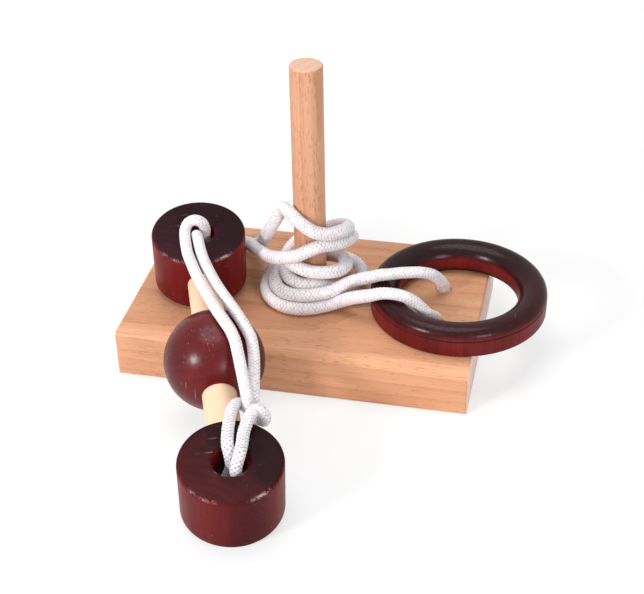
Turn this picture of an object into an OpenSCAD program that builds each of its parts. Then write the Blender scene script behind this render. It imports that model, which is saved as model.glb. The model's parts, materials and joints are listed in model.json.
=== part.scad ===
// Rope puzzle: a wooden board with an upright post, a loose ring, and two bored drums on a rod,
// all held together by one white cord that is knotted under the board.
// Millimetres, +Z up. The origin is on the board's underside, below the post, and +X runs to the ring.

/* [Board] */
// Length of the board
board_l = 131.4; // [120:0.2:160]
// Width of the board
board_w = 84; // [70:1:100]
// Thickness of the board
board_h = 19; // [17:0.1:22]
// Rounding of the board's two long upper edges
board_round = 5; // [1:0.5:6]
// Rounding of the board's other edges
board_edge = 1; // [0.4:0.1:2]
// How far the board's middle lies behind the post
board_back = 1.5; // [0:0.1:3]

/* [Post] */
// Diameter of the post
post_d = 12; // [8:0.5:16]
// Height of the post above the board
post_h = 94.6; // [70:0.1:120]
// Rounding of the post's top edge
post_edge = 0.8; // [0.2:0.1:2]
// Depth of the post's blind socket in the board
post_socket = 12; // [8:1:14]

/* [Ring] */
// Outer diameter of the ring
ring_d = 65.8; // [62:0.2:72]
// Diameter of the ring's hole
ring_hole_d = 44.4; // [40:0.1:46]
// Height of the ring
ring_h = 10.8; // [9:0.1:14]
// Rounding of the ring's upper outer edge
ring_crown = 4.5; // [2:0.1:5]
// Rounding of the ring's upper inner edge
ring_throat = 5.8; // [2:0.1:6]
// Rounding of the ring's lower inner edge
ring_mouth = 3; // [1:0.1:3.6]
// Rounding of the ring's lower outer edge
ring_edge = 0.8; // [0.5:0.1:2]
// Width of the flat left on top of the ring, at least
ring_flat = 0.3; // [0.1:0.1:2]
// Height of the narrow turned line round the ring
ring_line_z = 4.4; // [3:0.1:4.6]
// Depth of the turned line
ring_line = 0.3; // [0.1:0.05:0.5]
// How far the ring's centre lies from the board's ring end
ring_inset = 9.3; // [0:0.1:20]
// How far the ring's centre lies behind the post
ring_back = 0.5; // [0:0.1:2]

/* [Drums, ball and rod] */
// Diameter of both drums
drum_d = 35; // [30:0.5:42]
// Height of both drums
drum_h = 23.2; // [18:0.1:28]
// Diameter of the bore through each drum
bore_d = 12; // [11:0.5:16]
// Rounding of the drums' rims
drum_edge = 1.2; // [0.4:0.1:2]
// Rounding of the bores' upper mouths
mouth_top = 1.2; // [0.4:0.1:2]
// Rounding of the bores' lower mouths, where the cord is drawn through
mouth_low = 3; // [1:0.1:4]
// Distance between the drums' centres
drum_pitch = 111; // [100:1:130]
// Diameter of the rod
rod_d = 12; // [8:0.5:14]
// Depth of the rod's blind socket in each drum
rod_socket = 8; // [5:0.5:9]
// Diameter of the ball
ball_d = 35.8; // [28:0.2:38]

/* [How the pieces lie] */
// Heading of the rod, seen from above, from +X
heading = -69.1; // [-75:0.1:-60]
// Height of the rear drum's lowest edge above the board: it rests on the cord
rear_lift = 0.6; // [0.5:0.1:3]
// Place of the ball along the board
ball_x = -22.4; // [-30:0.1:-15]
// Gap between the ball and the board's front edge
ball_gap = 0.4; // [0.3:0.1:2]

/* [Cord] */
// Diameter of the cord
cord_d = 4.7; // [4:0.1:4.7]
// Thickness of the cord where the front drum presses it on the table
nip_d = 4; // [3.6:0.1:4.2]
// Distance from the post to the two cord holes, along the board
hole_x = 49.5; // [48:0.5:52]
// Distance between the two cord holes
hole_pitch = 21.5; // [20:0.5:24]
// Diameter of the well for each knot, under the board
well_d = 14; // [13:0.5:18]
// Depth of the wells
well_h = 9; // [8.8:0.1:10]
// Diameter of each knot
knot_d = 12; // [10:0.5:12.5]
// Height of each knot
knot_h = 8; // [6:0.5:8]

/* [Fits] */
// Glue gap round the post and the rod, on the radius
glue_gap = 0.05; // [0.03:0.01:0.1]
// Gap round the cord in its holes, on the radius
hole_gap = 0.65; // [0.4:0.05:1]
// Gap between the ring and the board
ring_gap = 0.05; // [0.02:0.01:0.1]

/* [Hidden] */
$fn = 64;

// How far a cut reaches past the face it starts at
past = 1;

// The cord is eight-sided, and its turns have twice as many rings as route points
cord_sides = 8;
turn_steps = 2;

// Each drum leans on a rounded lower edge, and the rod slopes from the board down to the table
tilt = asin((board_h + rear_lift) / drum_pitch);
lean_z = (drum_h / 2 - drum_edge) * cos(tilt) + (drum_d / 2 - drum_edge) * sin(tilt) + drum_edge;
ball_s = drum_pitch / 2;
ball_z = board_h + rear_lift + lean_z - ball_s * sin(tilt);
ball_rise = max(0, ball_z - board_h + board_round);
ball_reach = ball_d / 2 + board_round + ball_gap;
ball_y = board_back - board_w / 2 + board_round - sqrt(ball_reach * ball_reach - ball_rise * ball_rise);
rear_at = [ball_x - ball_s * cos(tilt) * cos(heading), ball_y - ball_s * cos(tilt) * sin(heading),
           board_h + rear_lift + lean_z];

// Routes of the cord. Those in the board's frame are measured from the post, at the board's top.
// A turn's points are an angle round the post, a distance from it and a height.
far_from_hole = [
    [49.5, 10.7, -10], [49.5, 10.7, -4], [49.5, 10.4, 0.4], [49.4, 8.8, 3.4], [48.7, 6.9, 5.8],
    [47.1, 5.1, 8.8], [45.1, 3.2, 11], [41.6, 1, 12.8], [38.1, -0.6, 13.4], [34.5, -1.8, 13.5],
    [31, -3.3, 13.5], [27.4, -4.3, 13.3], [23.8, -4.8, 12.2],
];
far_turns = [
    [-12, 20, 10.2], [-19, 17.2, 9.4], [-31, 15.4, 8.6], [-47, 14.5, 7.8], [-70, 13.7, 7.3],
    [-95, 13.7, 6.9], [-118, 14.5, 7], [-138, 15, 7.4], [-160, 14, 7.7], [-185, 12.8, 8.2],
    [-215, 12, 9.4], [-245, 11.3, 10.4], [-280, 11.2, 11.5], [-305, 12.5, 12.3], [-322, 15, 12.3],
    [-337, 16, 12.5], [-355, 15, 13.2], [-380, 13, 14.3], [-407, 11.5, 15.2], [-438, 10, 15.6],
    [-470, 9.3, 16], [-505, 9, 16.2], [-540, 9, 17.2], [-575, 9, 19.2], [-608, 9.2, 21.3],
    [-638, 10, 22.9], [-659, 12.5, 24.5], [-675, 15.8, 26], [-691, 16.6, 27], [-708, 15.5, 28.6],
    [-730, 12, 29.8], [-757, 10, 30.6], [-790, 9.3, 33], [-822, 9, 36.2], [-855, 9, 38.5],
];
far_to_drum = [
    [-9.9, -2.8, 37.8], [-12.3, -1.9, 33.2], [-15.8, 0.2, 26.2], [-20.1, 7.6, 16.9], [-23.6, 13.6, 10.4],
    [-27, 18, 6.5], [-31.8, 21.6, 4], [-38, 23.6, 2.7], [-45, 23.3, 2.6], [-50.5, 20, 3.2],
    [-52, 14.5, 3.4], [-50.3, 9, 3], [-48.4, 4, 2.6], [-46.4, -0.6, 2.8], [-45.4, -3.2, 3.7],
    [-44.9, -4.6, 5.1], [-44.8, -4.9, 6.4],
];
near_from_hole = [
    [49.5, -10.7, -10], [49.5, -10.7, -4], [49.5, -10.8, 0], [49.3, -11.6, 1.8], [48.5, -13.1, 3.4],
    [47, -14.3, 5.2], [44.9, -14.7, 7.5], [42.7, -15.2, 10], [40.2, -15.8, 12], [37.7, -16.1, 13.2],
    [35.1, -16, 13.5], [32.5, -16, 13.5], [29.5, -15.9, 13], [25.6, -15.2, 11.2], [21.6, -13.8, 9.2],
];
near_turns = [
    [-36, 21.9, 7.2], [-40, 18.2, 4.6], [-49, 15.8, 2.8], [-62, 15.4, 2.5], [-80, 16.5, 2.5],
    [-98, 17, 2.5], [-117, 17.4, 2.5], [-138, 17.4, 2.5], [-158, 17.2, 2.5], [-178, 17, 3],
    [-198, 16.9, 4.6], [-222, 16.5, 6.2], [-250, 16, 6.7], [-280, 15.8, 6.8], [-303, 17.5, 6.5],
    [-320, 19.5, 5.8], [-335, 20.3, 5.2], [-350, 19.6, 5], [-363, 16.5, 5], [-377, 12.8, 5.5],
    [-390, 10.4, 6.2],
    [-405, 9.2, 7.2], [-430, 8.9, 8.5], [-462, 9, 9.2], [-495, 9, 10], [-530, 9, 11.3],
    [-562, 9, 12.6], [-595, 9, 15], [-627, 9.3, 17.2], [-654, 11, 18.2], [-671, 15, 20],
    [-685, 16.8, 21.6], [-700, 16.2, 22.6], [-719, 13, 23.6], [-745, 10, 24.7], [-775, 9.2, 25.6],
    [-803, 9.2, 24.4], [-830, 10.2, 22.1],
];
near_to_drum = [
    [-9, -8.6, 20.3], [-12.7, -6.2, 18.4], [-16.8, -2.8, 16.8], [-21.6, 2.1, 15.2],
    [-26.6, 8.1, 13.4], [-32.6, 14, 9.9], [-38.5, 18, 6.3], [-43.5, 17.9, 4.4],
    [-46.3, 14.5, 3.4], [-45.5, 10.3, 3], [-43.7, 5.8, 2.6], [-41.8, 1.4, 2.8], [-40.5, -1.5, 3.7],
    [-40.1, -2.7, 5.1], [-40, -3, 6.4],
];

// The bridge lies on the drums and the rod, in their frame: along the rod from the rear drum's
// centre, across it to the right, and up the bore. It is the middle of the cord, doubled back.
bridge_up = [
    [0, 2.6, -8.3], [0, 2.6, -4.2], [-0.3, 2.7, 2.1], [-0.9, 3, 8.4], [-1.2, 3.2, 12.1],
    [-1.2, 2, 15.6], [-1.4, -1, 17.2], [-1, -4, 16.2], [1.5, -5.6, 14.6], [6, -5.8, 14.1],
    [14, -5.4, 14.1], [22, -4.1, 14.2], [32, -2.2, 15.2], [41, -0.6, 17.6], [50.5, 2, 20.5],
    [60.5, 4.8, 20.3], [68, 6.8, 17.2], [75, 7.6, 14.4], [83.5, 8.2, 13.2],
];
bridge_hitch = [
    [88.8, 8.3, 12.4], [91.6, 8.8, 9.1], [92.4, 9.2, 4.2], [92.6, 9.4, -1.1], [92.4, 9.2, -6.3],
    [92.4, 8.4, -11.6], [94.5, 6.2, -14.4], [98.5, 4, -14.5], [103, 2.9, -13.7],
    [107.5, 2.6, -12.6], [110.5, 2.6, -9.5], [111.5, 2.8, -4.2], [112.5, 3, 2.1],
    [113.9, 1.9, 7.4], [113.9, 1.7, 11.6], [111.5, 2.9, 14.6], [107, 4.2, 14.6], [102, 5.4, 14.6],
    [97.4, 7.3, 15], [94.6, 9.4, 15.6], [93.9, 12.4, 13.8], [91.4, 14.3, 10.1], [87.4, 15.3, 5.7],
    [82.9, 13, 1.9], [80.8, 9.1, 2.7], [82.4, 5.9, 7.2], [86.6, 3.3, 11], [91.4, 1.9, 14],
    [96.5, 0.8, 14.6], [102, -0.3, 14.4], [106.4, -1.2, 14], [108.9, -1.2, 11.1],
    [109.5, -1.6, 6.3], [110.2, -2.3, 1.1], [110.7, -2.6, -4.2], [110.4, -2.6, -9.5],
    [107.5, -2.6, -12.6], [103, -2.5, -13.7], [98, -2, -14.5], [93, 0.3, -14.9], [88.8, 4, -14],
    [87.3, 7.2, -10.5], [87.2, 9.3, -5.3], [87.2, 9.6, 0], [87.2, 9.5, 4.4],
];
bridge_down = [
    [84.2, 10.5, 8], [78.5, 11.5, 9.7], [73, 12.2, 10.9], [67.5, 12.8, 12.6], [62, 12.8, 15.3],
    [56, 11.6, 17.3], [49, 9.4, 17.4], [41.5, 7.2, 15.8], [33, 4.2, 14.4], [24.5, 2, 14.1],
    [15, 0.2, 14.1], [8, -0.5, 14.1], [3.8, -0.8, 13.3], [1.4, -1.4, 10], [0.6, -2.2, 4.2],
    [0, -2.6, -4.2], [0, -2.6, -8.3],
];

// Points of a quarter circle that rounds a corner, on a circle about (x, y)
function quarter(x, y, r, from) =
    [for (k = [0 : 6]) [x + r * cos(from - 15 * k), y + r * sin(from - 15 * k)]];

// A rectangle that stands on the middle of its lower side, with its upper and its lower corners rounded
module eased_rect(w, h, upper, lower) {
    polygon(concat(
        quarter(upper - w / 2, h - upper, upper, 180),
        quarter(w / 2 - upper, h - upper, upper, 90),
        quarter(w / 2 - lower, lower, lower, 0),
        quarter(lower - w / 2, lower, lower, -90)));
}

// A block with its two long upper edges rounded over by one radius, and all its other edges by another
module eased_block(l, w, h, upper, r) {
    intersection() {
        translate([0, -w / 2, 0]) linear_extrude(h) eased_rect(l, w, r, r);
        translate([0, w / 2, 0]) rotate([90, 0, 0]) linear_extrude(w) eased_rect(l, h, r, r);
        translate([-l / 2, 0, 0]) rotate([90, 0, 90]) linear_extrude(l) eased_rect(w, h, upper, r);
    }
}

// The half section of a turned piece with a bore. The edges are rounded by radii at the upper
// inner, upper outer, lower outer and lower inner corners, and line cuts a thin line in the side.
module turned_section(ri, ro, h, r, line = []) {
    polygon(concat(
        quarter(ri + r[0], h - r[0], r[0], 180),
        quarter(ro - r[1], h - r[1], r[1], 90),
        line,
        quarter(ro - r[2], r[2], r[2], 0),
        quarter(ri + r[3], r[3], r[3], -90)));
}

// What lies on the drums and the rod, in their own frame
module on_rod() {
    translate(rear_at) rotate([0, tilt, heading]) children();
}

// Where the two cord holes and their knots are
module at_hole(side) {
    translate([hole_x, side * hole_pitch / 2, 0]) children();
}

module base_board() {
    color("burlywood") difference() {
        translate([0, board_back, 0]) eased_block(board_l, board_w, board_h, board_round, board_edge);
        translate([0, 0, board_h - post_socket]) cylinder(d = post_d + 2 * glue_gap, h = post_socket + past);
        for (side = [-1, 1]) at_hole(side) {
            translate([0, 0, -past]) cylinder(d = cord_d + 2 * hole_gap, h = board_h + 2 * past);
            translate([0, 0, -past]) cylinder(d = well_d, h = well_h + past);
        }
    }
}

module post() {
    r = post_d / 2;
    top = post_h + post_socket;
    color("peru") translate([0, 0, board_h - post_socket]) rotate_extrude()
        polygon(concat([[0, 0], [0, top]], quarter(r - post_edge, top - post_edge, post_edge, 90), [[r, 0]]));
}

module ring() {
    r = ring_d / 2;
    hole = ring_hole_d / 2;
    throat = min(ring_throat, r - hole - ring_crown - ring_flat);
    line = [[r, ring_line_z + ring_line], [r - ring_line, ring_line_z], [r, ring_line_z - ring_line]];
    color("maroon") translate([board_l / 2 - ring_inset, ring_back, board_h + ring_gap])
        rotate_extrude($fn = 96)
            turned_section(hole, r, ring_h, [throat, ring_crown, ring_edge, ring_mouth], line);
}

// A drum, bored through for the cord, with a blind socket for the rod on the side it faces
module drum(toward) {
    color("maroon") difference() {
        translate([0, 0, -drum_h / 2]) rotate_extrude()
            turned_section(bore_d / 2, drum_d / 2, drum_h, [mouth_top, drum_edge, drum_edge, mouth_low]);
        rotate([0, toward * 90, 0]) translate([0, 0, drum_d / 2 - rod_socket])
            cylinder(d = rod_d + 2 * glue_gap, h = rod_socket + past);
    }
}

module rear_drum() {
    on_rod() drum(1);
}

module front_drum() {
    on_rod() translate([drum_pitch, 0, 0]) drum(-1);
}

module ball() {
    color("maroon") on_rod() translate([ball_s, 0, 0]) rotate([0, 90, 0]) difference() {
        sphere(d = ball_d);
        cylinder(d = rod_d + 2 * glue_gap, h = ball_d + 2 * past, center = true);
    }
}

module connecting_rod() {
    inset = drum_d / 2 - rod_socket + glue_gap;
    color("wheat") on_rod() rotate([0, 90, 0]) translate([0, 0, inset])
        cylinder(d = rod_d, h = drum_pitch - 2 * inset);
}

// A point between two points of a route, on the smooth curve through them and their neighbours
function curve_at(a, b, c, d, t) =
    0.5 * (2 * b + (c - a) * t + (2 * a - 5 * b + 4 * c - d) * t * t + (3 * b - a - 3 * c + d) * t * t * t);

// A route with more points in it, on the same smooth curve
function refined(p, steps) = concat(
    [for (i = [0 : len(p) - 2], k = [0 : steps - 1])
        curve_at(p[max(i - 1, 0)], p[i], p[i + 1], p[min(i + 2, len(p) - 1)], k / steps)],
    [p[len(p) - 1]]);

// Turns round the post, from angles, distances and heights
function wound(turns) = [for (q = turns) [q[1] * cos(q[0]), q[1] * sin(q[0]), q[2]]];

function unit(v) = v / norm(v);
function headings(p) = [for (i = [0 : len(p) - 1]) unit(p[min(i + 1, len(p) - 1)] - p[max(i - 1, 0)])];
function square_to(s, t) = unit(s - (s * t) * t);
function sideways(t) = [
    for (i = 0, s = square_to([0.1, 1, 0.2], t[0]); i < len(t); i = i + 1, s = square_to(s, t[min(i, len(t) - 1)])) s];

// A tube through the points of a path, as thick at each point as girth says
module tube(path, girth) {
    n = cord_sides;
    t = headings(path);
    s = sideways(t);
    last = (len(path) - 1) * n;
    polyhedron(
        points = [for (i = [0 : len(path) - 1], k = [0 : n - 1])
            path[i] + girth[i] / 2 * (cos(360 * (k + 0.5) / n) * s[i] + sin(360 * (k + 0.5) / n) * cross(t[i], s[i]))],
        faces = concat(
            [for (i = [0 : len(path) - 2], k = [0 : n - 1], half = [0, 1])
                half == 0
                    ? [i * n + k, (i + 1) * n + k, (i + 1) * n + (k + 1) % n]
                    : [i * n + k, (i + 1) * n + (k + 1) % n, i * n + (k + 1) % n]],
            [for (k = [1 : n - 2]) [0, k, k + 1]],
            [for (k = [1 : n - 2]) [last, last + k + 1, last + k]]));
}

far_path = concat(far_from_hole, refined(wound(far_turns), turn_steps), far_to_drum);
near_path = concat(near_from_hole, refined(wound(near_turns), turn_steps), near_to_drum);
bridge_path = concat(bridge_up, refined(bridge_hitch, turn_steps), bridge_down);

// Under the front drum the cord is pressed thinner
function under_front(p) = p[2] < -drum_h / 2 + mouth_low && norm([p[0] - drum_pitch, p[1]]) < drum_d / 2 - 2;
function girths(path) = [for (p = path) under_front(p) ? nip_d : cord_d];

// The least gap between points of a path that are more than two and a half diameters apart along it
function along(path) = [for (i = 0, s = 0; i < len(path); i = i + 1,
    s = s + (i < len(path) ? norm(path[i] - path[i - 1]) : 0)) s];
function least_gap(path, s) = min([for (i = [0 : len(path) - 1], j = [i : len(path) - 1])
    if (s[j] - s[i] > 2.5 * cord_d) norm(path[i] - path[j])]) - cord_d;
function gap_between(p, q) = min([for (a = p, b = q) norm(a - b)]) - cord_d;

echo(least_gap_far = least_gap(far_path, along(far_path)));
echo(least_gap_near = least_gap(near_path, along(near_path)));
echo(least_gap_bridge = least_gap(bridge_path, along(bridge_path)));
echo(gap_near_to_far = gap_between(near_path, far_path));

module on_board() {
    translate([0, 0, board_h]) children();
}

module cord_near() {
    color("white") on_board() tube(near_path, [for (p = near_path) cord_d]);
}

module cord_far() {
    color("white") on_board() tube(far_path, [for (p = far_path) cord_d]);
}

module cord_bridge() {
    color("white") on_rod() tube(bridge_path, girths(bridge_path));
}

// A knot that fills most of its well and stops the cord
module knot(side) {
    color("white") at_hole(side) translate([0, 0, well_h - knot_h / 2]) intersection() {
        sphere(d = knot_d);
        cube([knot_d, knot_d, knot_h], center = true);
    }
}

module knot_near() {
    knot(-1);
}

module knot_far() {
    knot(1);
}

base_board();
post();
ring();
rear_drum();
front_drum();
ball();
connecting_rod();
cord_near();
cord_far();
cord_bridge();
knot_near();
knot_far();
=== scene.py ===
"""The looks of a wooden rope puzzle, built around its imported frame.

Everything is in metres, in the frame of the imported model: +Z is up, the origin is under the post on
the surface the board stands on, and +X runs along the board to the ring. Three bodies carry the
pieces: the base, the ring, and the dumbbell of two drums, a ball and a rod. One white braided cord
joins them. It is drawn in three lengths, because the dumbbell moves with the middle one.
"""

from __future__ import annotations

import json
import logging
import math
from dataclasses import dataclass
from enum import Enum
from typing import Sequence

import bmesh
import bpy
import numpy as np
from mathutils import Matrix, Vector, noise
from mathutils.bvhtree import BVHTree
from mathutils.kdtree import KDTree

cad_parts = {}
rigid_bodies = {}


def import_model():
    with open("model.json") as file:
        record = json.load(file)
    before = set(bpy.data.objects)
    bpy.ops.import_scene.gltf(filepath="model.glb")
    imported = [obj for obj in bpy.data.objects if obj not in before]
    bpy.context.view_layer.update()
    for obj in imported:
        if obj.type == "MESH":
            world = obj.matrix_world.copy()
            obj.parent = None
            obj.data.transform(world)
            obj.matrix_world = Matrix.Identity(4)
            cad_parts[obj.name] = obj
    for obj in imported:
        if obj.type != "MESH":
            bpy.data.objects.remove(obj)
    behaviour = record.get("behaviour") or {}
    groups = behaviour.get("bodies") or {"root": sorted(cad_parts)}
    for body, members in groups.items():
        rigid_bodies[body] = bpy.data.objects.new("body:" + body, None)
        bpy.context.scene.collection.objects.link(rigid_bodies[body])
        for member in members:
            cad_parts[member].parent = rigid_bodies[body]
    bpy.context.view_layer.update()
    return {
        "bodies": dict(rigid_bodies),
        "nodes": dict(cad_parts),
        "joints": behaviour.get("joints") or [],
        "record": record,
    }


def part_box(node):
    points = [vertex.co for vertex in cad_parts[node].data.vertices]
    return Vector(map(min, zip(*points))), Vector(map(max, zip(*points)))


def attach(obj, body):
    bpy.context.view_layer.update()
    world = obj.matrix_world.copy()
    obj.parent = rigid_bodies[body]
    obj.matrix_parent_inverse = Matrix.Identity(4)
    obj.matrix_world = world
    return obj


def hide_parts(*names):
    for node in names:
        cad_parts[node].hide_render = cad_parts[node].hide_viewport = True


LOG = logging.getLogger("rope_puzzle")

Point = tuple[float, float, float]
Colour = tuple[float, float, float, float]
Socket = bpy.types.NodeSocket

WHITE: Colour = (1.0, 1.0, 1.0, 1.0)


class Body(Enum):
    """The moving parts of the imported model."""

    BASE = "base"
    RING = "ring"
    DUMBBELL = "dumbbell"


class Slot(Enum):
    """The record's material slots."""

    POST = "beech_post"
    STAINED = "stained_wood"
    ROD = "pale_rod"
    CORD = "white_cord"


# Camera, light and floor


@dataclass(frozen=True)
class PhotoCamera:
    """The camera of the photograph. Angles are in degrees, and the sensor's width in millimetres."""

    place: Point = (0.10503, -0.44640, 0.32912)
    azimuth: float = -12.738
    elevation: float = 34.337
    roll: float = -1.110
    focal_pixels: float = 1444.59
    picture_width: int = 644
    sensor_width: float = 36.0
    nearest: float = 0.01

    def axes(self) -> Matrix:
        """The camera's own directions.

        Returns:
            A matrix whose columns are its right, up and backward directions.
        """
        az, el, roll = (math.radians(a) for a in (self.azimuth, self.elevation, self.roll))
        forward = Vector((math.sin(az) * math.cos(el), math.cos(az) * math.cos(el), -math.sin(el)))
        level = Vector((math.cos(az), -math.sin(az), 0))
        upward = level.cross(forward)
        right = math.cos(roll) * level + math.sin(roll) * upward
        up = math.cos(roll) * upward - math.sin(roll) * level
        return Matrix((right, up, -forward)).transposed()

    def build(self) -> None:
        """Makes the camera and gives it to the scene."""
        data = bpy.data.cameras.new("photo_camera")
        data.sensor_width = self.sensor_width
        data.lens = self.focal_pixels / self.picture_width * self.sensor_width
        data.clip_start = self.nearest
        camera = bpy.data.objects.new("photo_camera", data)
        camera.matrix_world = Matrix.Translation(self.place) @ self.axes().to_4x4()
        bpy.context.collection.objects.link(camera)
        bpy.context.scene.camera = camera


@dataclass(frozen=True)
class SoftLamp:
    """A round softbox that looks at the middle of the puzzle.

    Attributes:
        name: its name.
        towards: the way from the puzzle to it.
        distance: how far off it is.
        across: how wide it is.
        power: how strong it is, in watts.
        aim: what it looks at.
    """

    name: str
    towards: Point
    distance: float
    across: float
    power: float
    aim: Point = (0.0, -0.03, 0.03)

    def build(self) -> None:
        """Makes the lamp."""
        data = bpy.data.lights.new(self.name, "AREA")
        data.shape = "DISK"
        data.size = self.across
        data.energy = self.power
        lamp = bpy.data.objects.new(self.name, data)
        lamp.location = Vector(self.aim) + Vector(self.towards).normalized() * self.distance
        lamp.rotation_euler = (Vector(self.aim) - lamp.location).to_track_quat("-Z", "Y").to_euler()
        bpy.context.collection.objects.link(lamp)


@dataclass(frozen=True)
class Studio:
    """A white room: soft lamps, a plain sky and a pale floor that keeps a soft shadow.

    Attributes:
        sky_strength: how strongly the sky lights the puzzle. It looks white all the same.
        floor_side: how long and how wide the floor is.
        floor_below: how far under the board it lies.
        floor_matt: the colour of its surface.
        floor_lift: the share of its white, near the puzzle, that is its own.
        floor_fade: how far off that share begins to rise, and how far off it is the whole.
        lamps: the lamps.
    """

    sky_strength: float = 0.42
    floor_side: float = 6.0
    floor_below: float = 0.00005
    floor_matt: Colour = (0.95, 0.95, 0.95, 1.0)
    floor_lift: float = 0.65
    floor_fade: tuple[float, float] = (0.3, 0.9)
    lamps: tuple[SoftLamp, ...] = (
        SoftLamp("window", (-0.556, -0.728, 0.447), 1.2, 0.30, 10.0),
        SoftLamp("fill", (0.75, -0.85, 0.35), 1.5, 0.45, 6.5),
        SoftLamp("ceiling", (-0.1, 0.1, 1.0), 1.4, 1.2, 11.2),
    )

    @staticmethod
    def looked_at(graph: Graph) -> Socket:
        """Tells what is looked at from what only lights the puzzle.

        Args:
            graph: the graph to build in.

        Returns:
            A socket that is 1 for what the camera sees, in a gloss or through glass too, and else 0.
        """
        path = graph.add("ShaderNodeLightPath")
        seen = graph.maths("MAXIMUM", path.outputs["Is Camera Ray"], path.outputs["Is Glossy Ray"])
        return graph.maths("MAXIMUM", seen, path.outputs["Is Transmission Ray"])

    def sky(self) -> None:
        """Makes a world that looks white, and lights the puzzle less than that."""
        world = bpy.data.worlds.new("sky")
        graph = emptied(world)
        strength = graph.span(self.looked_at(graph), 0.0, 1.0, self.sky_strength, 1.0)
        light = graph.add("ShaderNodeBackground", {"Color": WHITE, "Strength": strength})
        graph.add("ShaderNodeOutputWorld", {"Surface": light.outputs[0]})
        bpy.context.scene.world = world

    def floor(self) -> None:
        """Makes the floor. Part of its white is its own, so that only a soft shadow stays on it."""
        half = self.floor_side / 2
        low = -self.floor_below
        mesh = bpy.data.meshes.new("floor")
        mesh.from_pydata([(-half, -half, low), (half, -half, low), (half, half, low), (-half, half, low)],
                         [], [(0, 1, 2, 3)])
        floor = bpy.data.objects.new("floor", mesh)
        bpy.context.collection.objects.link(floor)
        material = bpy.data.materials.new("floor")
        graph = emptied(material)
        matt = graph.add("ShaderNodeBsdfDiffuse", {"Color": self.floor_matt})
        glow = graph.add("ShaderNodeEmission", {"Color": WHITE, "Strength": 1.0})
        place = graph.add("ShaderNodeTexCoord").outputs["Object"]
        away = graph.add("ShaderNodeVectorMath", {0: place}, operation="LENGTH").outputs["Value"]
        share = graph.times(self.looked_at(graph), graph.span(away, *self.floor_fade, self.floor_lift, 1.0))
        both = graph.add("ShaderNodeMixShader", {0: share, 1: matt.outputs[0], 2: glow.outputs[0]})
        graph.add("ShaderNodeOutputMaterial", {"Surface": both.outputs[0]})
        mesh.materials.append(material)

    def build(self) -> None:
        """Makes the sky, the lamps and the floor."""
        bpy.context.scene.view_settings.view_transform = "Standard"
        self.sky()
        for lamp in self.lamps:
            lamp.build()
        self.floor()


# Node graphs and the effects that the finishes share


@dataclass(frozen=True)
class Specks:
    """A kind of noise.

    Attributes:
        per_metre: how fine it is, the same every way or along X, Y and Z.
        detail: how many finer layers lie in it.
        rough: how strong these are.
    """

    per_metre: float | Point
    detail: float = 2.0
    rough: float = 0.5


@dataclass
class Graph:
    """A node tree, with short ways to add nodes and link them."""

    tree: bpy.types.NodeTree

    def feed(self, node: bpy.types.Node, inputs: dict[str | int, object]) -> None:
        """Gives a node's input sockets what they need.

        Args:
            node: the node.
            inputs: what each socket gets, which is a number, a colour or another node's socket.
        """
        for name, value in inputs.items():
            if isinstance(value, bpy.types.NodeSocket):
                self.tree.links.new(value, node.inputs[name])
            else:
                node.inputs[name].default_value = value

    def add(self, kind: str, inputs: dict[str | int, object] | None = None,
            **settings: object) -> bpy.types.Node:
        """Adds a node.

        Args:
            kind: Blender's name of the node.
            inputs: what each input socket gets, as in feed.
            settings: the node's own properties.

        Returns:
            The node.
        """
        node = self.tree.nodes.new(kind)
        for name, value in settings.items():
            setattr(node, name, value)
        self.feed(node, inputs or {})
        return node

    def maths(self, operation: str, a: Socket, b: Socket | float = 0.0, clamp: bool = False) -> Socket:
        """One sum of two numbers, as a socket."""
        return self.add("ShaderNodeMath", {0: a, 1: b}, operation=operation, use_clamp=clamp).outputs[0]

    def times(self, a: Socket, b: Socket | float) -> Socket:
        """The product of two numbers."""
        return self.maths("MULTIPLY", a, b)

    def plus(self, a: Socket, b: Socket | float, clamp: bool = False) -> Socket:
        """Two numbers added."""
        return self.maths("ADD", a, b, clamp)

    def span(self, value: Socket, low: float | Socket, high: float | Socket, start: float = 0.0,
             end: float = 1.0, smooth: bool = False) -> Socket:
        """Maps low to high of a value onto start to end."""
        return self.add("ShaderNodeMapRange", {0: value, 1: low, 2: high, 3: start, 4: end},
                        interpolation_type="SMOOTHSTEP" if smooth else "LINEAR").outputs[0]

    def vector(self, operation: str, a: Socket, b: Socket | Point) -> Socket:
        """One sum of two vectors, as a socket."""
        return self.add("ShaderNodeVectorMath", {0: a, 1: b}, operation=operation).outputs[0]

    def axes(self, vector: Socket) -> Sequence[Socket]:
        """A vector's three numbers."""
        return self.add("ShaderNodeSeparateXYZ", {0: vector}).outputs

    def speckle(self, where: Socket, kind: Specks) -> Socket:
        """Blender's noise.

        Args:
            where: the place that it is read at.
            kind: how fine and how rough it is.

        Returns:
            A socket from 0 to 1.
        """
        scale = kind.per_metre
        if isinstance(scale, tuple):
            where, scale = self.vector("MULTIPLY", where, scale), 1.0
        return self.add("ShaderNodeTexNoise", {"Vector": where, "Scale": scale, "Detail": kind.detail,
                                               "Roughness": kind.rough}).outputs["Fac"]

    def blend(self, share: Socket, a: Socket | Colour, b: Socket | Colour) -> Socket:
        """Mixes two colours."""
        return self.add("ShaderNodeMix", {0: share, 6: a, 7: b}, data_type="RGBA").outputs[2]

    def tint(self, mask: Socket, strength: float, under: Socket, over: Socket | Colour) -> Socket:
        """Lays a colour over another where a mask is, as strongly as given."""
        return self.blend(self.times(mask, strength), under, over)

    def bump(self, height: Socket, strength: float, distance: float) -> Socket:
        """The normal of a surface that a height makes uneven."""
        return self.add("ShaderNodeBump",
                        {"Strength": strength, "Distance": distance, "Height": height}).outputs[0]


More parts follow.
